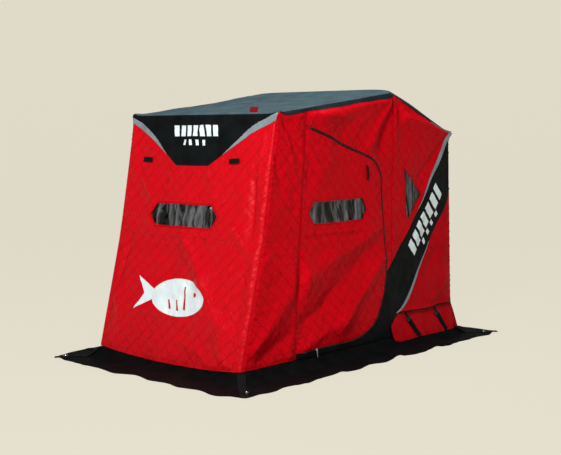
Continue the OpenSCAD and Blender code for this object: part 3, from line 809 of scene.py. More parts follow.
def metal_material(name, colour, roughness):
    n = Nodes(name)
    drawn = n.noise(60, 4.0, where=n.scaled(1, 1, 0.08))
    n.set(Base_Color=colour, Metallic=1.0, Roughness=n.ramp(drawn, 0.3, 0.7, roughness - 0.06, roughness + 0.08))
    n.set(Normal=n.bump(drawn, 0.08, 0.0005))
    return n.material


RED_SIDE = quilted_material("quilted_side", 0, 0.025)
RED_END = quilted_material("quilted_end", 1, 0.08)
RED_TAPE = plain_cloth("red_binding", rgb(152, 0, 12), rgb(166, 1, 15), (0.45, 0.6), 40, 0.6, 0.03)
LINING = plain_cloth("lining", rgb(20, 20, 22), rgb(34, 34, 37), (0.5, 0.7))
DARK = plain_cloth("dark_cloth", rgb(6, 8, 9), rgb(13, 16, 18), (0.5, 0.66), 26, 0.5, 0.05)
# The roof cloth's bluish grey is partly its own dark colour and partly painted reflection of the sky.
ROOF_CLOTH = plain_cloth("roof_cloth", rgb(50, 66, 70), rgb(62, 80, 84), (0.4, 0.55), 22, 0.3, 0.15)
# The turned-down roof edge is a darker copy of the roof cloth: painted shade on the strip that faces sideways.
ROOF_EDGE_SHADED = plain_cloth("roof_edge_shaded_cloth", rgb(12, 20, 24), rgb(20, 30, 35), (0.5, 0.66), 22, 0.3)
SKIRT = plain_cloth("skirt_cloth", rgb(2, 3, 3), rgb(7, 8, 9), (0.6, 0.8), 18, 0.6, 0.05)
TAPE = plain_cloth("reflective_tape", rgb(96, 108, 114), rgb(114, 126, 132), (0.34, 0.48), 60, 0.15, 0.3)
TAB = plain_cloth("tab_cloth", rgb(86, 4, 12), rgb(110, 8, 16), (0.6, 0.7))
PRINT = plain_cloth("white_print", rgb(184, 197, 203), rgb(198, 208, 212), (0.4, 0.5), 60, 0.15)
SEAM = plain_cloth("seam_binding", rgb(126, 0, 8), rgb(140, 1, 11), (0.5, 0.7), 60, 0.5, 0.03)
THREAD = plain_cloth("thread", rgb(86, 3, 10), rgb(108, 5, 14), (0.5, 0.7), 200, 0.2)
WEBBING = webbing_material("webbing", rgb(8, 8, 9))
ZIP = webbing_material("zip_tape", rgb(15, 15, 16))
FILM_DARK = film_material("window_film")
BUCKLE = plastic_material("buckle_plastic", rgb(20, 20, 22), 0.35)
SLED = plastic_material("sled_plastic", rgb(28, 29, 31), 0.5, 400)
HUB = plastic_material("hub_plastic", rgb(24, 24, 26), 0.5)
TUBE = metal_material("frame_tube", (0.62, 0.64, 0.65, 1), 0.32)
RING = metal_material("ring_metal", (0.66, 0.67, 0.68, 1), 0.25)
PULL = plastic_material("zip_pull", rgb(120, 126, 128), 0.4)


# ---- outlines, as the frame's panels are cut ----

HINGE_LEAN = math.radians(3.62)
DOOR_FALL = math.radians(17.9)
DOOR_REAR_LEAN = math.radians(5.5)
SILL_Z = 0.127
HINGE_UP = np.array([math.sin(HINGE_LEAN), math.cos(HINGE_LEAN)])
HINGE_FOOT = at(550, 127)
HINGE_TOP = HINGE_FOOT + HINGE_UP * (1.785 - SILL_Z) / HINGE_UP[1]
DOOR_REAR_FOOT = np.array([RIDGE[0] - 0.015, SILL_Z])
DOOR_REAR_UP = np.array([-math.sin(DOOR_REAR_LEAN), math.cos(DOOR_REAR_LEAN)])
DOOR_TOP_WAY = np.array([math.cos(DOOR_FALL), -math.sin(DOOR_FALL)])
DOOR_TOP_REAR = meet(HINGE_TOP, DOOR_TOP_WAY, DOOR_REAR_FOOT, DOOR_REAR_UP)
UPPER_BEND = round_corner(HINGE_TOP, DOOR_TOP_REAR, DOOR_REAR_FOOT, 0.230)
LOWER_BEND = round_corner(DOOR_TOP_REAR, DOOR_REAR_FOOT, HINGE_FOOT, 0.470)
OPENING = np.vstack([HINGE_FOOT, HINGE_TOP, UPPER_BEND, LOWER_BEND])
LEAF_GAP = 0.003


def door_rear(z):
    return DOOR_REAR_FOOT + DOOR_REAR_UP * (z - SILL_Z) / DOOR_REAR_UP[1]


def hinge_at(z):
    return HINGE_FOOT + HINGE_UP * (z - SILL_Z) / HINGE_UP[1]


def hexagon(mid, length, height, point):
    l, h = length / 2, height / 2
    return np.array([[-l, 0], [point - l, h], [l - point, h], [l, 0], [l - point, -h], [point - l, -h]]) + mid


BAND_DOOR = door_rear(0.620)
BAND_REAR = np.array([line_at(REAR_TOP, HEM, BAND_REAR_Z, 1), BAND_REAR_Z])
FLAP_FRONT = np.array([SLED_FRONT + 0.072, HEM[1]])
BAND_EDGE = curve(REAR_TOP, (BAND_DOOR + REAR_TOP) / 2 + [0.012, -0.146], BAND_DOOR)
WINDOW_L, WINDOW_H, WINDOW_POINT = 0.690, 0.168, 0.060
FRONT_WINDOW = hexagon([0.060, 1.114], WINDOW_L, WINDOW_H, WINDOW_POINT)
DOOR_WINDOW_Z = 1.141
DOOR_WINDOW_X = (hinge_at(DOOR_WINDOW_Z)[0] + 0.088, door_rear(DOOR_WINDOW_Z)[0] - 0.212)
DOOR_WINDOW = hexagon([sum(DOOR_WINDOW_X) / 2, DOOR_WINDOW_Z], DOOR_WINDOW_X[1] - DOOR_WINDOW_X[0],
                      WINDOW_H, WINDOW_POINT)
SIDE_WINDOW = np.array([RIDGE[0], 0]) + [[0.172, 1.448], [0.420, 1.234], [0.227, 1.000]]

HINGE_ROOF = hinge_at(line_at(FRONT_TOP, RIDGE, HINGE_TOP[0] + 0.01, 0))
FRONT_PANEL = np.vstack([np.array(FRONT_LINE), HINGE_ROOF, HINGE_TOP, HINGE_FOOT, hinge_at(FOOT[1])])
SURROUND = np.vstack([HINGE_TOP, HINGE_ROOF, RIDGE, BAND_EDGE[-2], BAND_DOOR, UPPER_BEND[::-1]])
REAR_PANEL = np.vstack([RIDGE, BAND_EDGE[:-1]])
BAND_FOOT = curve(FLAP_FRONT + [0.165, 0.145], FLAP_FRONT + [0.095, 0.030], FLAP_FRONT, 8)
BAND = np.vstack([BAND_REAR, BAND_FOOT, [FLAP_FRONT[0], FOOT[1]], [LOWER_BEND[-1][0], FOOT[1]], LOWER_BEND[::-1],
                  BAND_EDGE[::-1]])
SILL = np.array([hinge_at(FOOT[1]), HINGE_FOOT, LOWER_BEND[-1], [LOWER_BEND[-1][0], FOOT[1]]])
LOWER_PANEL = np.vstack([BAND_FOOT[::-1], BAND_REAR, HEM])

YOKE_HALF, YOKE_MID, YOKE_Z, YOKE_CORNER_Z, YOKE_BULGE = 0.174, 0.024, 1.482, 1.812, 0.060


def yoke_edge(s):
    """The yoke's lower edge from a corner to its flat foot."""
    corner, foot = np.array([HALF_W * s, YOKE_CORNER_Z]), np.array([YOKE_MID + YOKE_HALF * s, YOKE_Z])
    return curve(corner, (corner + foot) / 2 + [0.02 * s, YOKE_BULGE], foot)


YOKE_EDGE = {side: yoke_edge(s) for side, s in SIDES.items()}
YOKE = np.vstack([[-HALF_W, FRONT_TOP[1]], [HALF_W, FRONT_TOP[1]], YOKE_EDGE["left"], YOKE_EDGE["right"][::-1]])
FRONT_RED = np.vstack([[-HALF_W, FOOT[1]], YOKE_EDGE["right"], YOKE_EDGE["left"][::-1], [HALF_W, FOOT[1]]])
TRIM_TIP = 13
CRESCENT_DROP = {"right": 0.008, "left": 0.026}


def crescent(side):
    """Reflective trim that runs down the yoke's lower edge from a corner."""
    s, edge = SIDES[side], YOKE_EDGE[side]
    top = curve(np.array([HALF_W * s, FRONT_TOP[1] - CRESCENT_DROP[side]]),
                np.array([(HALF_W - 0.21) * s, FRONT_TOP[1] - 0.060 - CRESCENT_DROP[side] / 2]), edge[TRIM_TIP])
    return np.vstack([top, edge[:TRIM_TIP][::-1]])


# ---- the front, the rear and the roof ----

def box_outline(u0, v0, u1, v1):
    return np.array([[u0, v0], [u1, v0], [u1, v1], [u0, v1]])


def make_front():
    red = Panel(FRONT, FRONT_RED, [FRONT_WINDOW], seed=100)
    cloth("front_wall_cloth", red, [RED_END, LINING], nodes=["front_wall"])
    yoke = Panel(FRONT, YOKE, quilted=False, seed=110)
    cloth("front_yoke_cloth", yoke, [DARK, LINING], nodes=["front_yoke"], step=0.012)
    glazing = Panel(FRONT, FRONT_WINDOW, quilted=False, pucker=0, seed=120)
    film("front_window_film", glazing, "root", "front_window")
    for side in SIDES:
        patch(f"front_trim_{side}", yoke, crescent(side), TAPE, lift=0.0030)
    return red, yoke


def film(name, panel, body, node):
    """A window's film, set back in its hole, with folds that hang down it."""
    uv, faces = triangulate(panel.outline, [], False, 0.008)
    free = smooth(0, 0.02, to_lines(uv, panel.outline)[0])
    lean = uv @ np.array([[1.0, 0], [0.25, 0.10]])
    folds = 0.0060 * waves(lean, 0.085, panel.seed) + 0.0026 * waves(lean, 0.030, panel.seed + 1)
    outer = panel.wall.points(uv, folds * free - 0.0018)
    obj = two_faced(name, outer, outer - panel.wall.n * FILM, faces, [FILM_DARK])
    settle(obj, body, [node] if node else [])
    size = np.ptp(panel.outline, axis=0)
    return obj


def make_roof():
    roof = Panel(ROOF, box_outline(FRONT_TOP[0], -HALF_W, RIDGE[0], HALF_W), quilted=False, pucker=0.0012, seed=130)
    cloth("roof_cloth", roof, [ROOF_CLOTH, LINING], nodes=["roof"], step=0.02)
    rear = Panel(REAR_ROOF, box_outline(RIDGE[0], -HALF_W, REAR_TOP[0], HALF_W), quilted=False, pucker=0.0012, seed=140)
    cloth("rear_roof_cloth", rear, [ROOF_CLOTH, LINING], nodes=["rear_roof"], step=0.02)


def make_rear():
    red = Panel(REAR, box_outline(-HALF_W, HEM[1], HALF_W, BAND_REAR_Z), seed=150)
    cloth("rear_wall_cloth", red, [RED_END, LINING], nodes=["rear_wall"])
    yoke = Panel(REAR, box_outline(-HALF_W, BAND_REAR_Z, HALF_W, REAR_TOP[1]), quilted=False, seed=160)
    cloth("rear_yoke_cloth", yoke, [DARK, LINING], nodes=["rear_yoke"], step=0.02)


# ---- the sides ----

BAND_PANELS = {}


def make_side(side):
    wall, seed = SIDE[side], 200 if side == "right" else 300
    cloth(f"side_front_cloth_{side}", Panel(wall, FRONT_PANEL, seed=seed), [RED_SIDE, LINING],
          nodes=[f"side_front_panel_{side}"])
    cloth(f"door_surround_cloth_{side}", Panel(wall, SURROUND, seed=seed + 10), [RED_SIDE, LINING],
          nodes=[f"door_surround_{side}"])
    cloth(f"side_rear_cloth_{side}", Panel(wall, REAR_PANEL, [SIDE_WINDOW], seed=seed + 20), [RED_SIDE, LINING],
          nodes=[f"side_rear_panel_{side}"])
    BAND_PANELS[side] = Panel(wall, BAND, quilted=False, seed=seed + 30)
    cloth(f"side_band_cloth_{side}", BAND_PANELS[side], [DARK, LINING],
          nodes=[f"side_band_{side}"], step=0.014)
    cloth(f"door_sill_cloth_{side}", Panel(wall, SILL, quilted=False, seed=seed + 40), [DARK, LINING],
          nodes=["door_sills"], step=0.014)
    cloth(f"side_lower_cloth_{side}", Panel(wall, LOWER_PANEL, quilted=False, seed=seed + 50), [RED_TAPE, LINING],
          nodes=["side_lower_panels"])
    glazing = Panel(wall, SIDE_WINDOW, quilted=False, pucker=0, seed=seed + 60)
    film(f"side_window_film_{side}", glazing, "root", "side_windows")
    make_door(side, wall, seed + 70)


# A dark strip behind the door's foot, which keeps light out of the gap there
BACKING_DEPTH, BACKING_WIDTH, BACKING_T = 0.012, 0.060, 0.0015


def make_door(side, wall, seed):
    body = f"door_{side}"
    backing = Solid()
    foot = densify(np.array([HINGE_FOOT, LOWER_BEND[-1]]), 0.02, closed=False)
    backing.strip(wall, foot, BACKING_WIDTH, BACKING_T, -BACKING_DEPTH)
    backing.make(f"door_sill_backing_{side}", DARK, slot="dark_cloth")
    leaf = Panel(wall, grown(OPENING, -LEAF_GAP), [DOOR_WINDOW], seed=seed)
    cloth(f"door_cloth_{side}", leaf, [RED_SIDE, LINING], body=body, nodes=[f"door_{side}"])
    glazing = Panel(wall, DOOR_WINDOW, quilted=False, pucker=0, seed=seed + 1)
    film(f"door_window_film_{side}", glazing, body, f"door_window_{side}")


# ---- small solid parts ----

class Solid:
    """Closed shells gathered into one mesh."""

    def __init__(self):
        self.verts, self.faces = [], []

    def add(self, verts, faces):
        start = len(self.verts)
        self.verts += [tuple(v) for v in verts]
        self.faces += [tuple(int(i) + start for i in f) for f in faces]

    def block(self, middle, axes, template):
        """A copy of a block() template, turned to the unit directions given."""
        verts, faces = template
        self.add(np.asarray(middle) + verts @ np.asarray(axes), faces)

    def rings(self, rows, closed=False):
        """A tube through rows of points, each a ring; its ends are capped unless it closes on itself."""
        n, k = len(rows), len(rows[0])
        faces = []
        for i in range(n if closed else n - 1):
            a, b = i * k, (i + 1) % n * k
            faces += [(a + j, a + (j + 1) % k, b + (j + 1) % k, b + j) for j in range(k)]
        if not closed:
            faces += [tuple(range(k - 1, -1, -1)), tuple(range((n - 1) * k, n * k))]
        self.add(np.vstack(rows), faces)

    def tube(self, path, radius, sides=10, closed=False):
        """A round tube along a path."""
        path = np.asarray(path, float)
        radius = np.broadcast_to(radius, len(path))
        ahead = np.gradient(path, axis=0)
        if closed:
            ahead = np.roll(path, -1, axis=0) - np.roll(path, 1, axis=0)
        up = np.array([0.0, 0, 1]) if abs(unit(ahead[0])[2]) < 0.9 else np.array([0.0, 1, 0])
        rows, turn = [], np.linspace(0, 2 * math.pi, sides, endpoint=False)
        for p, t, r in zip(path, ahead, radius):
            t = unit(t)
            side = unit(np.cross(up, t))
            up = np.cross(t, side)
            rows.append(p + r * (np.cos(turn)[:, None] * side + np.sin(turn)[:, None] * up))
        self.rings(rows, closed)

    def ribbon(self, path, normals, width, thick):
        """A flat strap along a path, lying on its underside; width may change along it."""
        path, normals = np.asarray(path, float), np.asarray(normals, float)
        width = np.broadcast_to(width, len(path))
        rows, e = [], thick / 2
        for p, n, t, w in zip(path, normals, np.gradient(path, axis=0), width):
            across = unit(np.cross(n, t))
            up = unit(np.cross(t, across))
            section = [(-w / 2, e), (-w / 2 + e, 0), (w / 2 - e, 0), (w / 2, e), (w / 2 - e, thick), (e - w / 2, thick)]
            rows.append([p + a * across + h * up for a, h in section])
        self.rings(rows)

    def strip(self, wall, path, width, thick, lift=0.0, closed=False, columns=4):
        """A crowned tape that lies on a wall along a (u, v) path."""
        path = np.asarray(path, float)
        before, after = np.roll(path, 1, axis=0), np.roll(path, -1, axis=0)
        if not closed:
            before[0], after[-1] = path[0], path[-1]
        ahead = after - before
        ahead /= np.linalg.norm(ahead, axis=1)[:, None]
        across = np.column_stack([-ahead[:, 1], ahead[:, 0]]) * np.reshape(width, (-1, 1)) / 2
        at_edge = np.linspace(-1, 1, columns + 1)
        top = [wall.points(path + across * c, lift + thick * (0.35 + 0.65 * math.sqrt(max(0, 1 - c * c))))
               for c in at_edge]
        low = [wall.points(path + across * c, lift - 0.0004) for c in at_edge[::-1]]
        self.rings(list(np.stack(top + low, axis=1)), closed)

    def make(self, name, material, body="root", slot="webbing", nodes=(), sharp=40):
        obj = make_object(name, self.verts, self.faces, [material], sharp=sharp)
        bm = bmesh.new()
        bm.from_mesh(obj.data)
        bmesh.ops.recalc_face_normals(bm, faces=bm.faces)
        bm.to_mesh(obj.data)
        bm.free()
        return settle(obj, body, nodes)


def block(size, bevel, segments=2):
    """Template of a box with rounded edges."""
    bm = bmesh.new()
    bmesh.ops.create_cube(bm, size=1)
    bmesh.ops.scale(bm, vec=size, verts=bm.verts)
    if bevel:
        bmesh.ops.bevel(bm, geom=bm.edges, offset=bevel, segments=segments, affect="EDGES", profile=0.5)
    bm.verts.index_update()
    template = np.array([v.co[:] for v in bm.verts]), [[v.index for v in f.verts] for f in bm.faces]
    bm.free()
    return template


def axes_on(wall, uv, way):
    """Unit directions on a wall at one place: along `way`, across it, and out of the wall."""
    way = unit(np.asarray(way, float)) * 0.004
    here, ahead = wall.points(np.array([uv, np.asarray(uv) + way]), 0)
    along = unit(ahead - here)
    out = unit(wall.n - along * (wall.n @ along))
    return here, np.array([along, np.cross(out, along), out])


STITCH = block((0.0062, 0.0011, 0.0009), 0)
STITCH_PITCH = 0.0095


def sew(solid, wall, path, lift, closed=False):
    """A row of stitches along a (u, v) path on a wall."""
    path = densify(path, STITCH_PITCH, closed)
    ahead = np.roll(path, -1, axis=0) - path
    if not closed:
        path, ahead = path[:-1], ahead[:-1]
    ahead /= np.linalg.norm(ahead, axis=1)[:, None]
    here, there = wall.points(path, lift), wall.points(path + ahead * 0.004, lift)
    along = there - here
    along /= np.linalg.norm(along, axis=1)[:, None]
    out = wall.n - along * (along @ wall.n)[:, None]
    out /= np.linalg.norm(out, axis=1)[:, None]
    for p, a, o in zip(here, along, out):
        solid.block(p, [a, np.cross(o, a), o], STITCH)


# ---- the skirt ----

SKIRT_T = 0.003
SKIRT_RUN = 0.095
SKIRT_TUCK = 0.030
SKIRT_BLUNT = 0.030
SKIRT_MITRE_CALM = 0.055
FRONT_SEED = 510
FRONT_SLACK = 0.036
FAR_TIP_IN = 0.070


def skirt_out(p):
    """How far a place on the ground lies outside the walls."""
    return np.maximum(np.maximum(FOOT[0] - p[:, 0], p[:, 0] - HEM[0]), np.abs(p[:, 1]) - HALF_W)


def skirt_height(p):
    out = skirt_out(p)
    sag = HEM_SAG * np.clip(1 - (p[:, 1] / HALF_W) ** 2, 0, 1) * (p[:, 0] < FOOT[0] + 0.1)
    slope = np.clip(1 - out / SKIRT_RUN, 0, 1)
    rise = (FOOT[1] - 0.004 - sag - SKIRT_T) * (0.55 * slope ** 2 + 0.45 * smooth(0, 1, slope))
    beside = np.abs(p[:, 1]) - HALF_W - np.maximum(FOOT[0] - p[:, 0], p[:, 0] - HEM[0])
    share = smooth(-0.05, 0.05, beside)
    folds = share * waves(p * [1, 0.30], 0.30, 501) + (1 - share) * waves(p * [0.30, 1], 0.30, 502)
    fine = waves(p, 0.10, 503)
    calm = smooth(0, SKIRT_MITRE_CALM, np.abs(beside)) * smooth(-0.01, 0.04, out)
    ripple = 0.0075 * np.maximum(folds - 0.5, 0) ** 1.2 + 0.0006 * np.maximum(fine + 0.3, 0)
    hem = 0.0012 * smooth(SKIRT_W - 0.035, SKIRT_W - 0.030, out)
    return SKIRT_T + 0.0006 + rise + ripple * (0.25 + 0.75 * calm) + hem


def skirt_place(p):
    away = np.hypot(np.maximum(p[:, 0] - FOOT[0], 0), p[:, 1] + HALF_W)
    carried = p[:, 0] - RIGHT_FOOT_FORWARD * np.exp(-(away / BOW_REACH) ** 2)
    tip = smooth(0.02, SKIRT_W, FOOT[0] - p[:, 0]) * smooth(HALF_W - 0.25, HALF_W + SKIRT_W, p[:, 1])
    return np.column_stack([carried, p[:, 1] - FAR_TIP_IN * tip, skirt_height(p)])


SKIRT_WALL = LooseWall(skirt_place, (0, 0, 1), lambda uv: np.zeros(len(uv)))


def skirt_reach(a, length, seed):
    """Reach of the outer edge, at a place along a wall."""
    past = np.maximum(-a, a - length)
    straight = SKIRT_W - SKIRT_BLUNT
    bend = straight + np.sqrt(np.maximum(SKIRT_BLUNT ** 2 - np.maximum(past - straight, 0) ** 2, 0))
    wavy = 0.011 * waves(a, 0.46, seed) + 0.0016 * waves(a, 0.20, seed + 1)
    slack = FRONT_SLACK * smooth(length + 0.25, length - 0.5, a) if seed == FRONT_SEED else 0
    return bend + (wavy + slack) * smooth(straight - 0.02, straight - 0.16, past)


def skirt_piece(name, start, way, out, length, seed, nodes):
    """One strip of the skirt, mitred at both ends."""
    tip = SKIRT_W - SKIRT_BLUNT * (1 - math.sqrt(0.5))
    a = np.linspace(length + tip, -tip, round((length + 2 * tip) / 0.018))
    reach = skirt_reach(a, length, seed)
    reach[[0, -1]] = tip
    place = lambda along, off: start + np.outer(along, way) + np.outer(off, out)
    inner = place([SKIRT_TUCK, length - SKIRT_TUCK], [-SKIRT_TUCK, -SKIRT_TUCK])
    outline = np.vstack([inner, place(a, reach)])
    panel = Panel(SKIRT_WALL, outline, quilted=False, pucker=0, seed=seed)
    panel.detail = lambda uv: np.zeros(len(uv))
    obj = cloth(name, panel, [SKIRT], nodes=nodes, step=0.016, thick=SKIRT_T)
    return obj, place(a, reach - 0.028)[6:-6]


def make_skirt():
    corners = {(e, s): np.array([x, s * HALF_W]) for e, x in ((-1, FOOT[0]), (1, HEM[0])) for s in (-1, 1)}
    long, wide = HEM[0] - FOOT[0], 2 * HALF_W
    rows = Solid()
    for name, start, way, out, length, seed, node in (
            ("front_skirt_cloth", corners[-1, -1], (0, 1), (-1, 0), wide, FRONT_SEED, "front_skirt"),
            ("rear_skirt_cloth", corners[1, -1], (0, 1), (1, 0), wide, 520, "rear_skirt"),
            ("side_skirt_cloth_right", corners[-1, -1], (1, 0), (0, -1), long, 530, "side_skirts"),
            ("side_skirt_cloth_left", corners[-1, 1], (1, 0), (0, 1), long, 540, "side_skirts")):
        _, hem = skirt_piece(name, start, np.array(way, float), np.array(out, float), length, seed, [node])
        sew(rows, SKIRT_WALL, hem, 0.0004)
    rows.make("skirt_stitching", WEBBING, slot="skirt_cloth")
    make_corner_straps(corners)


STRAP_WIDTH = 0.058
STRAP_T = 0.0024


def make_corner_straps(corners):
    straps = Solid()
    for (e, s), corner in corners.items():
        out = np.array([e, s]) / math.sqrt(2)
        t = np.linspace(0.012, (SKIRT_W - 0.012) * math.sqrt(2), 26)
        plan = corner + np.outer(t, out)
        path = SKIRT_WALL.points(plan, 0.0008)
        straps.ribbon(path, np.tile([0, 0, 1.0], (len(path), 1)), STRAP_WIDTH, STRAP_T)
        reach = (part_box("strap_rings")[1].x - HEM[0]) * math.sqrt(2) - 0.017 * (math.sqrt(2) - 1)
        over = np.linspace(reach - 0.052, reach - 0.006, 9)
        hump = 0.0075 * np.sin(np.linspace(0.35, math.pi - 0.15, 9))
        path = SKIRT_WALL.points(corner + np.outer(over, out), STRAP_T + 0.0006) + np.outer(hump, [0, 0, 1])
        straps.ribbon(path, np.tile([0, 0, 1.0], (len(path), 1)), 0.030, 0.0018)
    straps.make("corner_strap_webbing", WEBBING, nodes=["corner_straps"])


# ---- the flaps over the sled ----

FLAP_TOP = HEM[1] + 0.030
FLAP_BOTTOM = 0.045
FLAP_OUT = 0.046
FLAP_TUCK = 0.007


def flap_out(z):
    """How far the flap stands out from the wall at a height."""
    t = np.clip((HEM[1] - z) / (HEM[1] - FLAP_BOTTOM), 0, 1.4)
    return FLAP_OUT * t ** 0.9 - FLAP_TUCK


def flap_drape(uv, seed):
    t = np.clip((FLAP_TOP - uv[:, 1]) / (FLAP_TOP - FLAP_BOTTOM), 0, 1)
    return t ** 0.7 * (0.0060 * waves(uv * [1, 0.25], 0.20, seed) + 0.0016 * waves(uv * [1, 0.6], 0.07, seed + 1))


def side_flap_wall(s):
    return LooseWall(
        lambda uv: np.column_stack([uv[:, 0], s * (HALF_W + flap_out(uv[:, 1])), uv[:, 1]]),
        side_n(s), lambda uv: flap_drape(uv, 600 + s))


REAR_FLAP_WALL = LooseWall(
    lambda uv: np.column_stack([HEM[0] + flap_out(uv[:, 1]), uv[:, 0], uv[:, 1]]),
    (1, 0, 0), lambda uv: flap_drape(uv, 640))


def flap_end(z):
    """Where the flaps meet at a corner, beyond the hem."""
    return flap_out(np.asarray(z, float)) + 0.002


FLAP_STRAPS = (0.080, 0.500)
FLAP_STRAP_LEAN = math.radians(36)
BUCKLE_Z = HEM[1] - 0.055


def make_flaps():
    heights = np.linspace(FLAP_TOP, FLAP_BOTTOM, 12)
    front = FLAP_FRONT[0]
    nose = np.vstack([
        curve(*np.array([[front - 0.006, FLAP_TOP], [front - 0.030, 0.215], [front - 0.085, 0.185]]), 6),
        curve(*np.array([[front - 0.096, 0.165], [front - 0.098, 0.095], [front - 0.048, 0.034]]), 8)])
    for side, s in SIDES.items():
        wall = side_flap_wall(s)
        rear = np.column_stack([HEM[0] + flap_end(heights[::-1]), heights[::-1]])
        low = np.array([[front + 0.25, 0.047], [front + 0.5, 0.044]])
        panel = Panel(wall, np.vstack([nose, low, rear]), seed=600 + s, quilted=False, pucker=0.0015)
        cloth(f"sled_flap_cloth_{side}", panel, [RED_TAPE, LINING], nodes=[f"sled_flap_{side}"],
              step=0.012)
        make_flap_straps(side, wall, front)
    wide = HALF_W + flap_end(heights)
    outline = np.vstack([np.column_stack([-wide, heights]), np.column_stack([wide, heights])[::-1]])
    panel = Panel(REAR_FLAP_WALL, outline, seed=640, quilted=False, pucker=0.0015)
    cloth("rear_flap_cloth", panel, [RED_TAPE, LINING], nodes=["rear_flap"], step=0.014)


def make_flap_straps(side, wall, front):
    straps, buckles = Solid(), Solid()
    rail, bar = block((0.034, 0.006, 0.009), 0.002), block((0.006, 0.046, 0.006), 0.002)
    for x in FLAP_STRAPS:
        down = np.array([math.sin(FLAP_STRAP_LEAN), -math.cos(FLAP_STRAP_LEAN)])
        middle = np.array([front + x + (HEM[1] - BUCKLE_Z) * math.tan(FLAP_STRAP_LEAN) + 0.022, BUCKLE_Z])
        upper = middle - np.array([0.010, 0])
        path = densify([upper + [-0.012, HEM[1] + 0.008 - BUCKLE_Z], upper], 0.008, closed=False)
        straps.ribbon(wall.points(path, 0.004), np.tile(wall.n, (len(path), 1)), 0.022, 0.0018)
        reach = (BUCKLE_Z - FLAP_BOTTOM - 0.004) / math.cos(FLAP_STRAP_LEAN)
        path = middle + np.outer(np.linspace(-0.006, reach, 18), down)
        straps.ribbon(wall.points(path, 0.003), np.tile(wall.n, (18, 1)), np.linspace(0.056, 0.044, 18), 0.0020)
        loose = np.linspace(0.0, 0.085, 10)
        path = middle + np.outer(loose, down * [1.25, 1])
        curl = 0.006 + 0.05 * loose ** 1.3
        straps.ribbon(wall.points(path, 0) + np.outer(curl, wall.n), np.tile(wall.n, (10, 1)), 0.022, 0.0016)
        here, axes = axes_on(wall, middle, down)
        for across in (-0.023, 0.023):
            buckles.block(here + axes[2] * 0.008 + axes[1] * across, axes, rail)
        for along in (-0.014, 0, 0.014):
            buckles.block(here + axes[2] * (0.008 if along else 0.010) + axes[0] * along, axes, bar)
    straps.make(f"flap_strap_webbing_{side}", WEBBING, nodes=["flap_straps"])
    buckles.make(f"flap_buckles_{side}", BUCKLE, slot="buckle_plastic", nodes=["strap_buckles"])


# ---- seams, zips and trim ----

FOOT_SLIDER_FROM_END = 18
PULL_LEAN = np.array([0.35, -1])


def make_zip(side, wall):
    """The door's zip: tape over the gap, two rows of teeth and two sliders."""
    body = f"door_{side}"
    line = grown(OPENING, -0.0015)
    start = line[1] + unit(line[2] - line[1]) * 0.052
    stop = line[0] + unit(line[-1] - line[0]) * 0.052
    path = densify(np.vstack([start, line[2:], stop]), 0.010, closed=False)
    tape = Solid()
    width = np.interp(np.linspace(0, 1, len(path)), [0, 0.30, 0.42, 1], [0.020, 0.019, 0.013, 0.013])
    tape.strip(wall, path, width, 0.0014, 0.0008)
    tape.make(f"door_zip_tape_{side}", ZIP, body=body, slot="zip_tape", nodes=[f"door_zip_{side}"])
    teeth, tooth = Solid(), block((0.0026, 0.0044, 0.0026), 0.0006, 1)
    fine = densify(path, 0.0056, closed=False)
    ahead = np.gradient(fine, axis=0)
    ahead /= np.linalg.norm(ahead, axis=1)[:, None]
    offset = np.column_stack([-ahead[:, 1], ahead[:, 0]]) * 0.0014
    offset[1::2] *= -1
    here, there = wall.points(fine + offset, 0.0030), wall.points(fine + offset + ahead * 0.003, 0.0030)
    for p, q in zip(here, there):
        along = unit(q - p)
        out = unit(wall.n - along * (along @ wall.n))
        teeth.block(p, [along, np.cross(out, along), out], tooth)
    teeth.make(f"door_zip_teeth_{side}", BUCKLE, body=body, slot="zip_tape")
    slider(wall, path, 1).make(f"door_zip_top_pull_{side}", BUCKLE, body=body, slot="buckle_plastic")
    k = len(path) - FOOT_SLIDER_FROM_END
    pull = slider(wall, path, k)
    for reach, lift, size, bevel in ((0.017, 0.0085, (0.030, 0.011, 0.0022), 0.001),
                                     (0.052, 0.0075, (0.046, 0.0042, 0.0042), 0.0018)):
        here, axes = axes_on(wall, path[k] + unit(PULL_LEAN) * reach, PULL_LEAN)
        pull.block(here + axes[2] * lift, axes, block(size, bevel))
    pull.make(f"door_zip_foot_pull_{side}", PULL, body=body, slot="buckle_plastic")


def slider(wall, path, k):
    """The body of a zip's slider, at point k of the zip's path."""
    solid = Solid()
    here, axes = axes_on(wall, path[k], path[k + 1] - path[k])
    solid.block(here + axes[2] * 0.0055, axes, block((0.020, 0.012, 0.007), 0.0025))
    return solid


TIE_SETBACK, TIE_DROP, TIE_LENGTH = 0.188, 0.075, 0.108


def make_tie(side, wall):
    top = DOOR_TOP_REAR - np.array([TIE_SETBACK, TIE_SETBACK * -math.tan(DOOR_FALL)]) - [0, TIE_DROP]
    down = -DOOR_REAR_UP
    t = np.linspace(0, TIE_LENGTH, 12)
    path = top + np.outer(t, down) + np.array([-0.011, 0])
    lift = 0.0065 + 0.006 * np.sin(math.pi * t / TIE_LENGTH)
    strap = Solid()
    strap.ribbon(wall.points(path, 0) + np.outer(lift, wall.n), np.tile(wall.n, (12, 1)), 0.024, 0.0024)
    strap.make(f"door_tie_webbing_{side}", WEBBING, body=f"door_{side}", nodes=[f"door_tie_{side}"])


WINDOW_BORDER = 0.007


def window_binding(name, wall, outline, body):
    """The folded edge sewn round a window."""
    line = densify(grown(outline, WINDOW_BORDER - 0.003), 0.012)
    edge = Solid()
    edge.strip(wall, line, 2 * WINDOW_BORDER, 0.0022, 0.0006, closed=True)
    edge.make(name, RED_TAPE, body=body, slot="quilted_cloth")


def seam(solid, wall, path, width=0.010, thick=0.0020):
    solid.strip(wall, densify(path, 0.011, closed=False), width, thick, 0.0004)


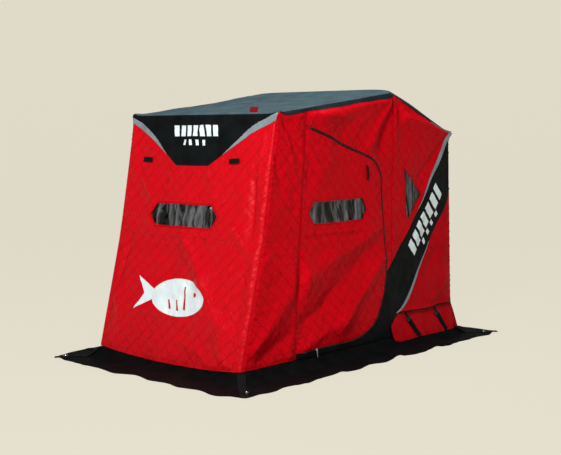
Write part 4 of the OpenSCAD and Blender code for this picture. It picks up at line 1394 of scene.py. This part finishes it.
def make_side_seams(side, wall):
    tape, rows = Solid(), Solid()
    top = hinge_at(float(side_top(HINGE_TOP[0] + 0.01)))
    hinge_line = np.vstack([hinge_at(FOOT[1] + 0.004), HINGE_FOOT, HINGE_TOP, top - [0.0006, 0.01]])
    ridge_line = np.array([RIDGE - [0, 0.012], BAND_EDGE[-2] + [0.02, 0.02]])
    heights = np.linspace(FOOT[1] + 0.003, FRONT_TOP[1] - 0.03, 90)
    corner_line = np.array([[float(front_x(z)) + 0.004, z] for z in heights])
    for line, width in ((hinge_line, 0.006), (corner_line, 0.006), (ridge_line, 0.005)):
        seam(tape, wall, line, width)
    # A dark strip along the lower panel's hem: partly its real black binding and partly painted shadow under the hem's
    # overhang.
    hem = Solid()
    seam(hem, wall, np.array([FLAP_FRONT + [0.004, 0.004], HEM + [-0.006, 0.004]]), 0.011, 0.0030)
    hem.make(f"side_hem_tape_and_shadow_{side}", DARK, slot="dark_cloth")
    tape.make(f"seam_tape_{side}", SEAM, slot="quilted_cloth")
    for line, off in ((hinge_line, -0.011), (hinge_line, 0.011), (corner_line, 0.012)):
        sew(rows, wall, line + [off, 0], 0.0008)
    rows.make(f"seam_stitching_{side}", THREAD, slot="quilted_cloth")
    trim = Solid()
    run = densify(BAND_EDGE[:9] + [-0.006, 0.004], 0.012, closed=False)
    width = np.interp(np.linspace(0, 1, len(run)), [0, 0.06, 0.5, 1], [0.036, 0.039, 0.030, 0.004])
    tapered_strip(trim, wall, run, width, 0.0014, 0.0030)
    low_way = BAND_FOOT[0] - BAND_REAR
    run = densify(np.vstack([BAND_REAR + low_way * 0.50, BAND_FOOT]) + [-0.010, 0.004], 0.012, closed=False)
    width = np.interp(np.linspace(0, 1, len(run)), [0, 0.25, 0.7, 1], [0.004, 0.014, 0.030, 0.008])
    tapered_strip(trim, wall, run, width, 0.0014, 0.0030)
    trim.make(f"band_trim_{side}", TAPE, slot="reflective_tape", nodes=["reflective_trim"])


def tapered_strip(solid, wall, path, width, thick, lift):
    """A flat tape on a wall, whose width changes along its path."""
    ahead = np.gradient(path, axis=0)
    ahead /= np.linalg.norm(ahead, axis=1)[:, None]
    across = np.column_stack([-ahead[:, 1], ahead[:, 0]])
    at_edge = np.linspace(-0.5, 0.5, 4)
    top = [wall.points(path + across * (c * width)[:, None], lift + thick) for c in at_edge]
    low = [wall.points(path + across * (c * width)[:, None], lift - 0.0004) for c in at_edge[::-1]]
    solid.rings(list(np.stack(top + low, axis=1)))


PIPING_FROM = 38


def make_roof_edges():
    """The roof cloth's turned-down edges, and the piping down the rear roof."""
    for side, s in SIDES.items():
        wall = SIDE[side]
        drop, pipe = Solid(), Solid()
        x = np.linspace(FRONT_TOP[0] + 0.012, RIDGE[0], 90)
        deep = ROOF_DROP * (1 + 0.05 * waves(x, 0.4, 700 + s)) * smooth(FRONT_TOP[0] - 0.02, FRONT_TOP[0] + 0.10, x)
        deep *= np.interp(x, [FRONT_TOP[0], RIDGE[0]], [0.85, 1.15])
        turned_edge(drop, wall, x, deep)
        x = np.linspace(RIDGE[0], REAR_TOP[0] - 0.004, 60)
        t = (x - RIDGE[0]) / (REAR_TOP[0] - RIDGE[0])
        deep = ROOF_DROP * (0.30 + 0.50 * np.sin(math.pi * t) ** 0.8)
        turned_edge(drop, wall, x, deep)
        # The drop takes the darker copy of the roof cloth, which is painted shade.
        drop.make(f"roof_drop_{side}", ROOF_EDGE_SHADED, slot="roof_cloth")
        line = np.column_stack([x, side_top(x) - deep])[PIPING_FROM:]
        pipe.tube(wall.points(line, 0.0020), 0.0026, 8)
        pipe.make(f"rear_roof_piping_{side}", TAPE, slot="reflective_tape")


def turned_edge(solid, wall, x, deep):
    """The strip of roof cloth that is turned down over a side wall's top."""
    rows = [wall.points(np.column_stack([x, side_top(x) - share * deep]), lift) for share, lift in (
        (-0.04, 0.0030), (0.3, 0.0042), (0.7, 0.0042), (1.0, 0.0034), (1.0, 0.0004), (0.5, 0.0004), (-0.04, 0.0004))]
    solid.rings(list(np.stack(rows, axis=1)))


def make_corner_posts():
    """The front poles, which the cloth bends."""
    posts = Solid()
    for s in (-1, 1):
        z = np.linspace(BALL_R, FRONT_TOP[1] - FRAME_IN, 48)
        cloth_line = np.column_stack([front_x(z), np.full(48, s * HALF_W), z])
        height = np.clip((z - FOOT[1]) / (FRONT_TOP[1] - FOOT[1]), 0, 1)
        forward, outward = corner_shift(s, height)
        path = cloth_line + np.column_stack([FRAME_IN - forward, s * (outward - FRAME_IN), np.zeros(48)])
        posts.tube(path, TUBE_R, 20)
        for k in (0, 24, 47):
            turn = np.linspace(-math.pi / 2, math.pi / 2, 9)
            ball = path[k] + np.outer(np.sin(turn) * BALL_R, [0, 0, 1])
            posts.tube(ball, np.maximum(np.cos(turn) * BALL_R, 0.0004), 20)
    posts.make("corner_post_tubes", TUBE, slot="frame_tube", nodes=["corner_posts"])


LOOP_MID, LOOP_APART = 0.052, 0.906


def make_front_loops():
    loops = Solid()
    for s in (-1, 1):
        y = LOOP_MID + s * LOOP_APART / 2
        z = 1.521
        path = densify([[y - 0.050, z - 0.002 * s], [y + 0.050, z + 0.002 * s]], 0.005, closed=False)
        t = np.linspace(0, 1, len(path))
        hump = 0.0045 + 0.0065 * np.sin(math.pi * t) ** 0.6
        raised = FRONT.points(path, 0) + np.outer(hump + 0.003, FRONT.n)
        loops.ribbon(raised, np.tile(FRONT.n, (len(path), 1)), 0.036, 0.0022)
    loops.make("front_loop_webbing", WEBBING, nodes=["front_loops"])


def make_tab():
    lo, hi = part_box("roof_tab")
    u, v = np.linspace(0, 1, 9), np.linspace(0, 1, 8)
    sheet = Solid()
    rows = []
    for t in v:
        lean = 0.010 * t ** 2
        z = lo.z - 0.006 + t * (hi.z - lo.z)
        row = [np.array([lo.x + 0.001 + lean + 0.0015 * math.sin(3 * a), lo.y + (hi.y - lo.y) * a, z]) for a in u]
        rows.append(np.vstack([row, [p + [0.0030 - 0.0008 * t, 0, 0] for p in row[::-1]]]))
    sheet.rings(rows)
    obj = sheet.make("roof_tab_cloth", TAB, slot="tab_cloth", nodes=["roof_tab"])


# ---- plain marks where the real hut has printing ----

MARK_LIFT = 0.0026
EYE_TURN = np.linspace(0, 2 * math.pi, 14, endpoint=False)


def slanted_bars(start, way, up, count, pitch, wide, tall, slant):
    way, up = np.asarray(way, float), np.asarray(up, float)
    bars = []
    for i in range(count):
        foot = start + way * pitch * i
        bars.append(np.array([foot, foot + way * wide, foot + way * (wide + slant) + up * tall,
                              foot + way * slant + up * tall]))
    return bars


def fish(mid, length, height):
    """Outline of a plain fish that faces -u."""
    turn = np.linspace(math.radians(16), math.radians(344), 48)
    body = np.column_stack([-0.08 * length + 0.38 * length * np.cos(turn), height / 2 * np.sin(turn)])
    tail = np.array([[0.50, -0.46], [0.40, 0.0], [0.50, 0.46]]) * [length, height]
    return np.vstack([body, tail]) + mid


def make_marks(front, yoke):
    mid = np.array([0.060, 0.520])
    eye = np.column_stack([np.cos(EYE_TURN), np.sin(EYE_TURN)]) * 0.017 + mid + [-0.24, 0.030]
    slits = [np.array([[x, y], [x + 0.022, y], [x + 0.052, y + h], [x + 0.038, y + h]]) + mid
             for x, y, h in ((-0.150, -0.085, 0.165), (-0.085, -0.095, 0.075), (0.000, -0.090, 0.065))]
    patch("front_mark", front, fish(mid, 0.76, 0.27), PRINT, holes=[eye, *slits], lift=MARK_LIFT)
    yoke_bars = slanted_bars(np.array([-0.212, 1.700]), (1, 0), (0, 1), 7, 0.068, 0.047, 0.082, 0.016)
    yoke_bars += slanted_bars(np.array([-0.085, 1.632]), (1, 0), (0, 1), 4, 0.062, 0.026, 0.042, 0.007)
    for i, bar in enumerate(yoke_bars):
        patch(f"yoke_mark_{i}", yoke, bar, PRINT, lift=MARK_LIFT)
    for side in SIDES:
        band = BAND_PANELS[side]
        way = unit(BAND_REAR - FLAP_FRONT)
        up = np.array([-way[1], way[0]])
        start = FLAP_FRONT + way * 0.50 + up * 0.100
        bars = slanted_bars(start, way, up, 7, 0.094, 0.064, 0.122, 0.024)
        bars += slanted_bars(start - up * 0.060 + way * 0.16, way, up, 4, 0.090, 0.034, 0.042, 0.008)
        for i, bar in enumerate(bars):
            patch(f"band_mark_{side}_{i}", band, bar, PRINT, lift=MARK_LIFT)


# ---- stage, light and camera ----

STAGE_REACH = 26.0
STAGE_RISE = 7.0


def make_stage():
    """A pale floor that curves up far away on all sides."""
    bend = np.linspace(0, math.pi / 2, 13)
    profile = [(r, 0.0) for r in (2.0, 8.0, 18.0)]
    profile += [(STAGE_REACH + STAGE_RISE * math.sin(a), STAGE_RISE * (1 - math.cos(a))) for a in bend]
    turn = np.linspace(0, 2 * math.pi, 72, endpoint=False)
    ring = len(turn)
    verts = [(0, 0, 0)] + [(r * math.cos(t), r * math.sin(t), z) for r, z in profile for t in turn]
    faces = [(0, 1 + i, 1 + (i + 1) % ring) for i in range(ring)]
    for k in range(len(profile) - 1):
        a, b = 1 + k * ring, 1 + (k + 1) * ring
        faces += [(a + i, b + i, b + (i + 1) % ring, a + (i + 1) % ring) for i in range(ring)]
    n = Nodes("stage")
    n.set(Base_Color=(0.030, 0.028, 0.024, 1), Roughness=1.0, Specular_IOR_Level=0.0)
    n.set(Emission_Color=(0.735, 0.695, 0.572, 1), Emission_Strength=1.0)
    make_object("studio_floor", verts, faces, [n.material])


CAMERA_AZIMUTH = 49.17
CAMERA_DOWN = 4.76
CAMERA_PLACE = (-6.824, -5.832, 1.706)
CAMERA_LENS = 70.8


def aim(obj, way):
    obj.rotation_euler = Vector(way).to_track_quat("-Z", "Y").to_euler()


def make_camera():
    camera = bpy.data.objects.new("camera", bpy.data.cameras.new("camera"))
    bpy.context.scene.collection.objects.link(camera)
    a, e = math.radians(CAMERA_AZIMUTH), math.radians(CAMERA_DOWN)
    camera.location = CAMERA_PLACE
    aim(camera, (math.sin(a) * math.cos(e), math.cos(a) * math.cos(e), -math.sin(e)))
    camera.data.lens, camera.data.sensor_width = CAMERA_LENS, 36
    bpy.context.scene.camera = camera


def area_light(name, place, target, size, power, colour):
    light = bpy.data.lights.new(name, "AREA")
    light.shape, light.size, light.energy, light.color = "DISK", size, power, colour
    obj = bpy.data.objects.new(name, light)
    bpy.context.scene.collection.objects.link(obj)
    obj.location = place
    aim(obj, Vector(target) - Vector(place))


def make_light():
    area_light("key", (-5.7, -2.9, 4.4), (0, 0, 0.9), 1.4, 590, (1, 0.98, 0.95))
    area_light("sky", (0.5, -0.6, 6.5), (0, 0, 1.0), 4.0, 320, (0.82, 0.93, 1))
    area_light("fill", (1.0, -7.5, 2.6), (0, 0, 0.9), 4.0, 25, (1, 1, 1))
    world = bpy.data.worlds.new("studio")
    world.use_nodes = True
    world.node_tree.nodes["Background"].inputs[0].default_value = (0.9, 0.92, 1, 1)
    world.node_tree.nodes["Background"].inputs[1].default_value = 0.12
    bpy.context.scene.world = world
    bpy.context.scene.view_settings.view_transform = "Standard"


CAD_MATERIALS = {"sled": SLED, "pivot_hubs": HUB, "crossbars": TUBE, "hoop_legs": TUBE,
                 "frame_rails": TUBE, "strap_rings": RING}

make_camera()
make_stage()
make_light()
for node, material in CAD_MATERIALS.items():
    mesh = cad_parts[node].data
    mesh.materials.clear()
    mesh.materials.append(material)
front_panels = make_front()
make_roof()
make_rear()
for side_name, side_surface in SIDE.items():
    make_side(side_name)
    make_zip(side_name, side_surface)
    make_tie(side_name, side_surface)
    make_side_seams(side_name, side_surface)
    window_binding(f"door_window_binding_{side_name}", side_surface, DOOR_WINDOW, f"door_{side_name}")
    window_binding(f"side_window_binding_{side_name}", side_surface, SIDE_WINDOW, "root")
window_binding("front_window_binding", FRONT, FRONT_WINDOW, "root")
make_roof_edges()
make_corner_posts()
make_front_loops()
make_tab()
make_flaps()
make_skirt()
make_marks(*front_panels)
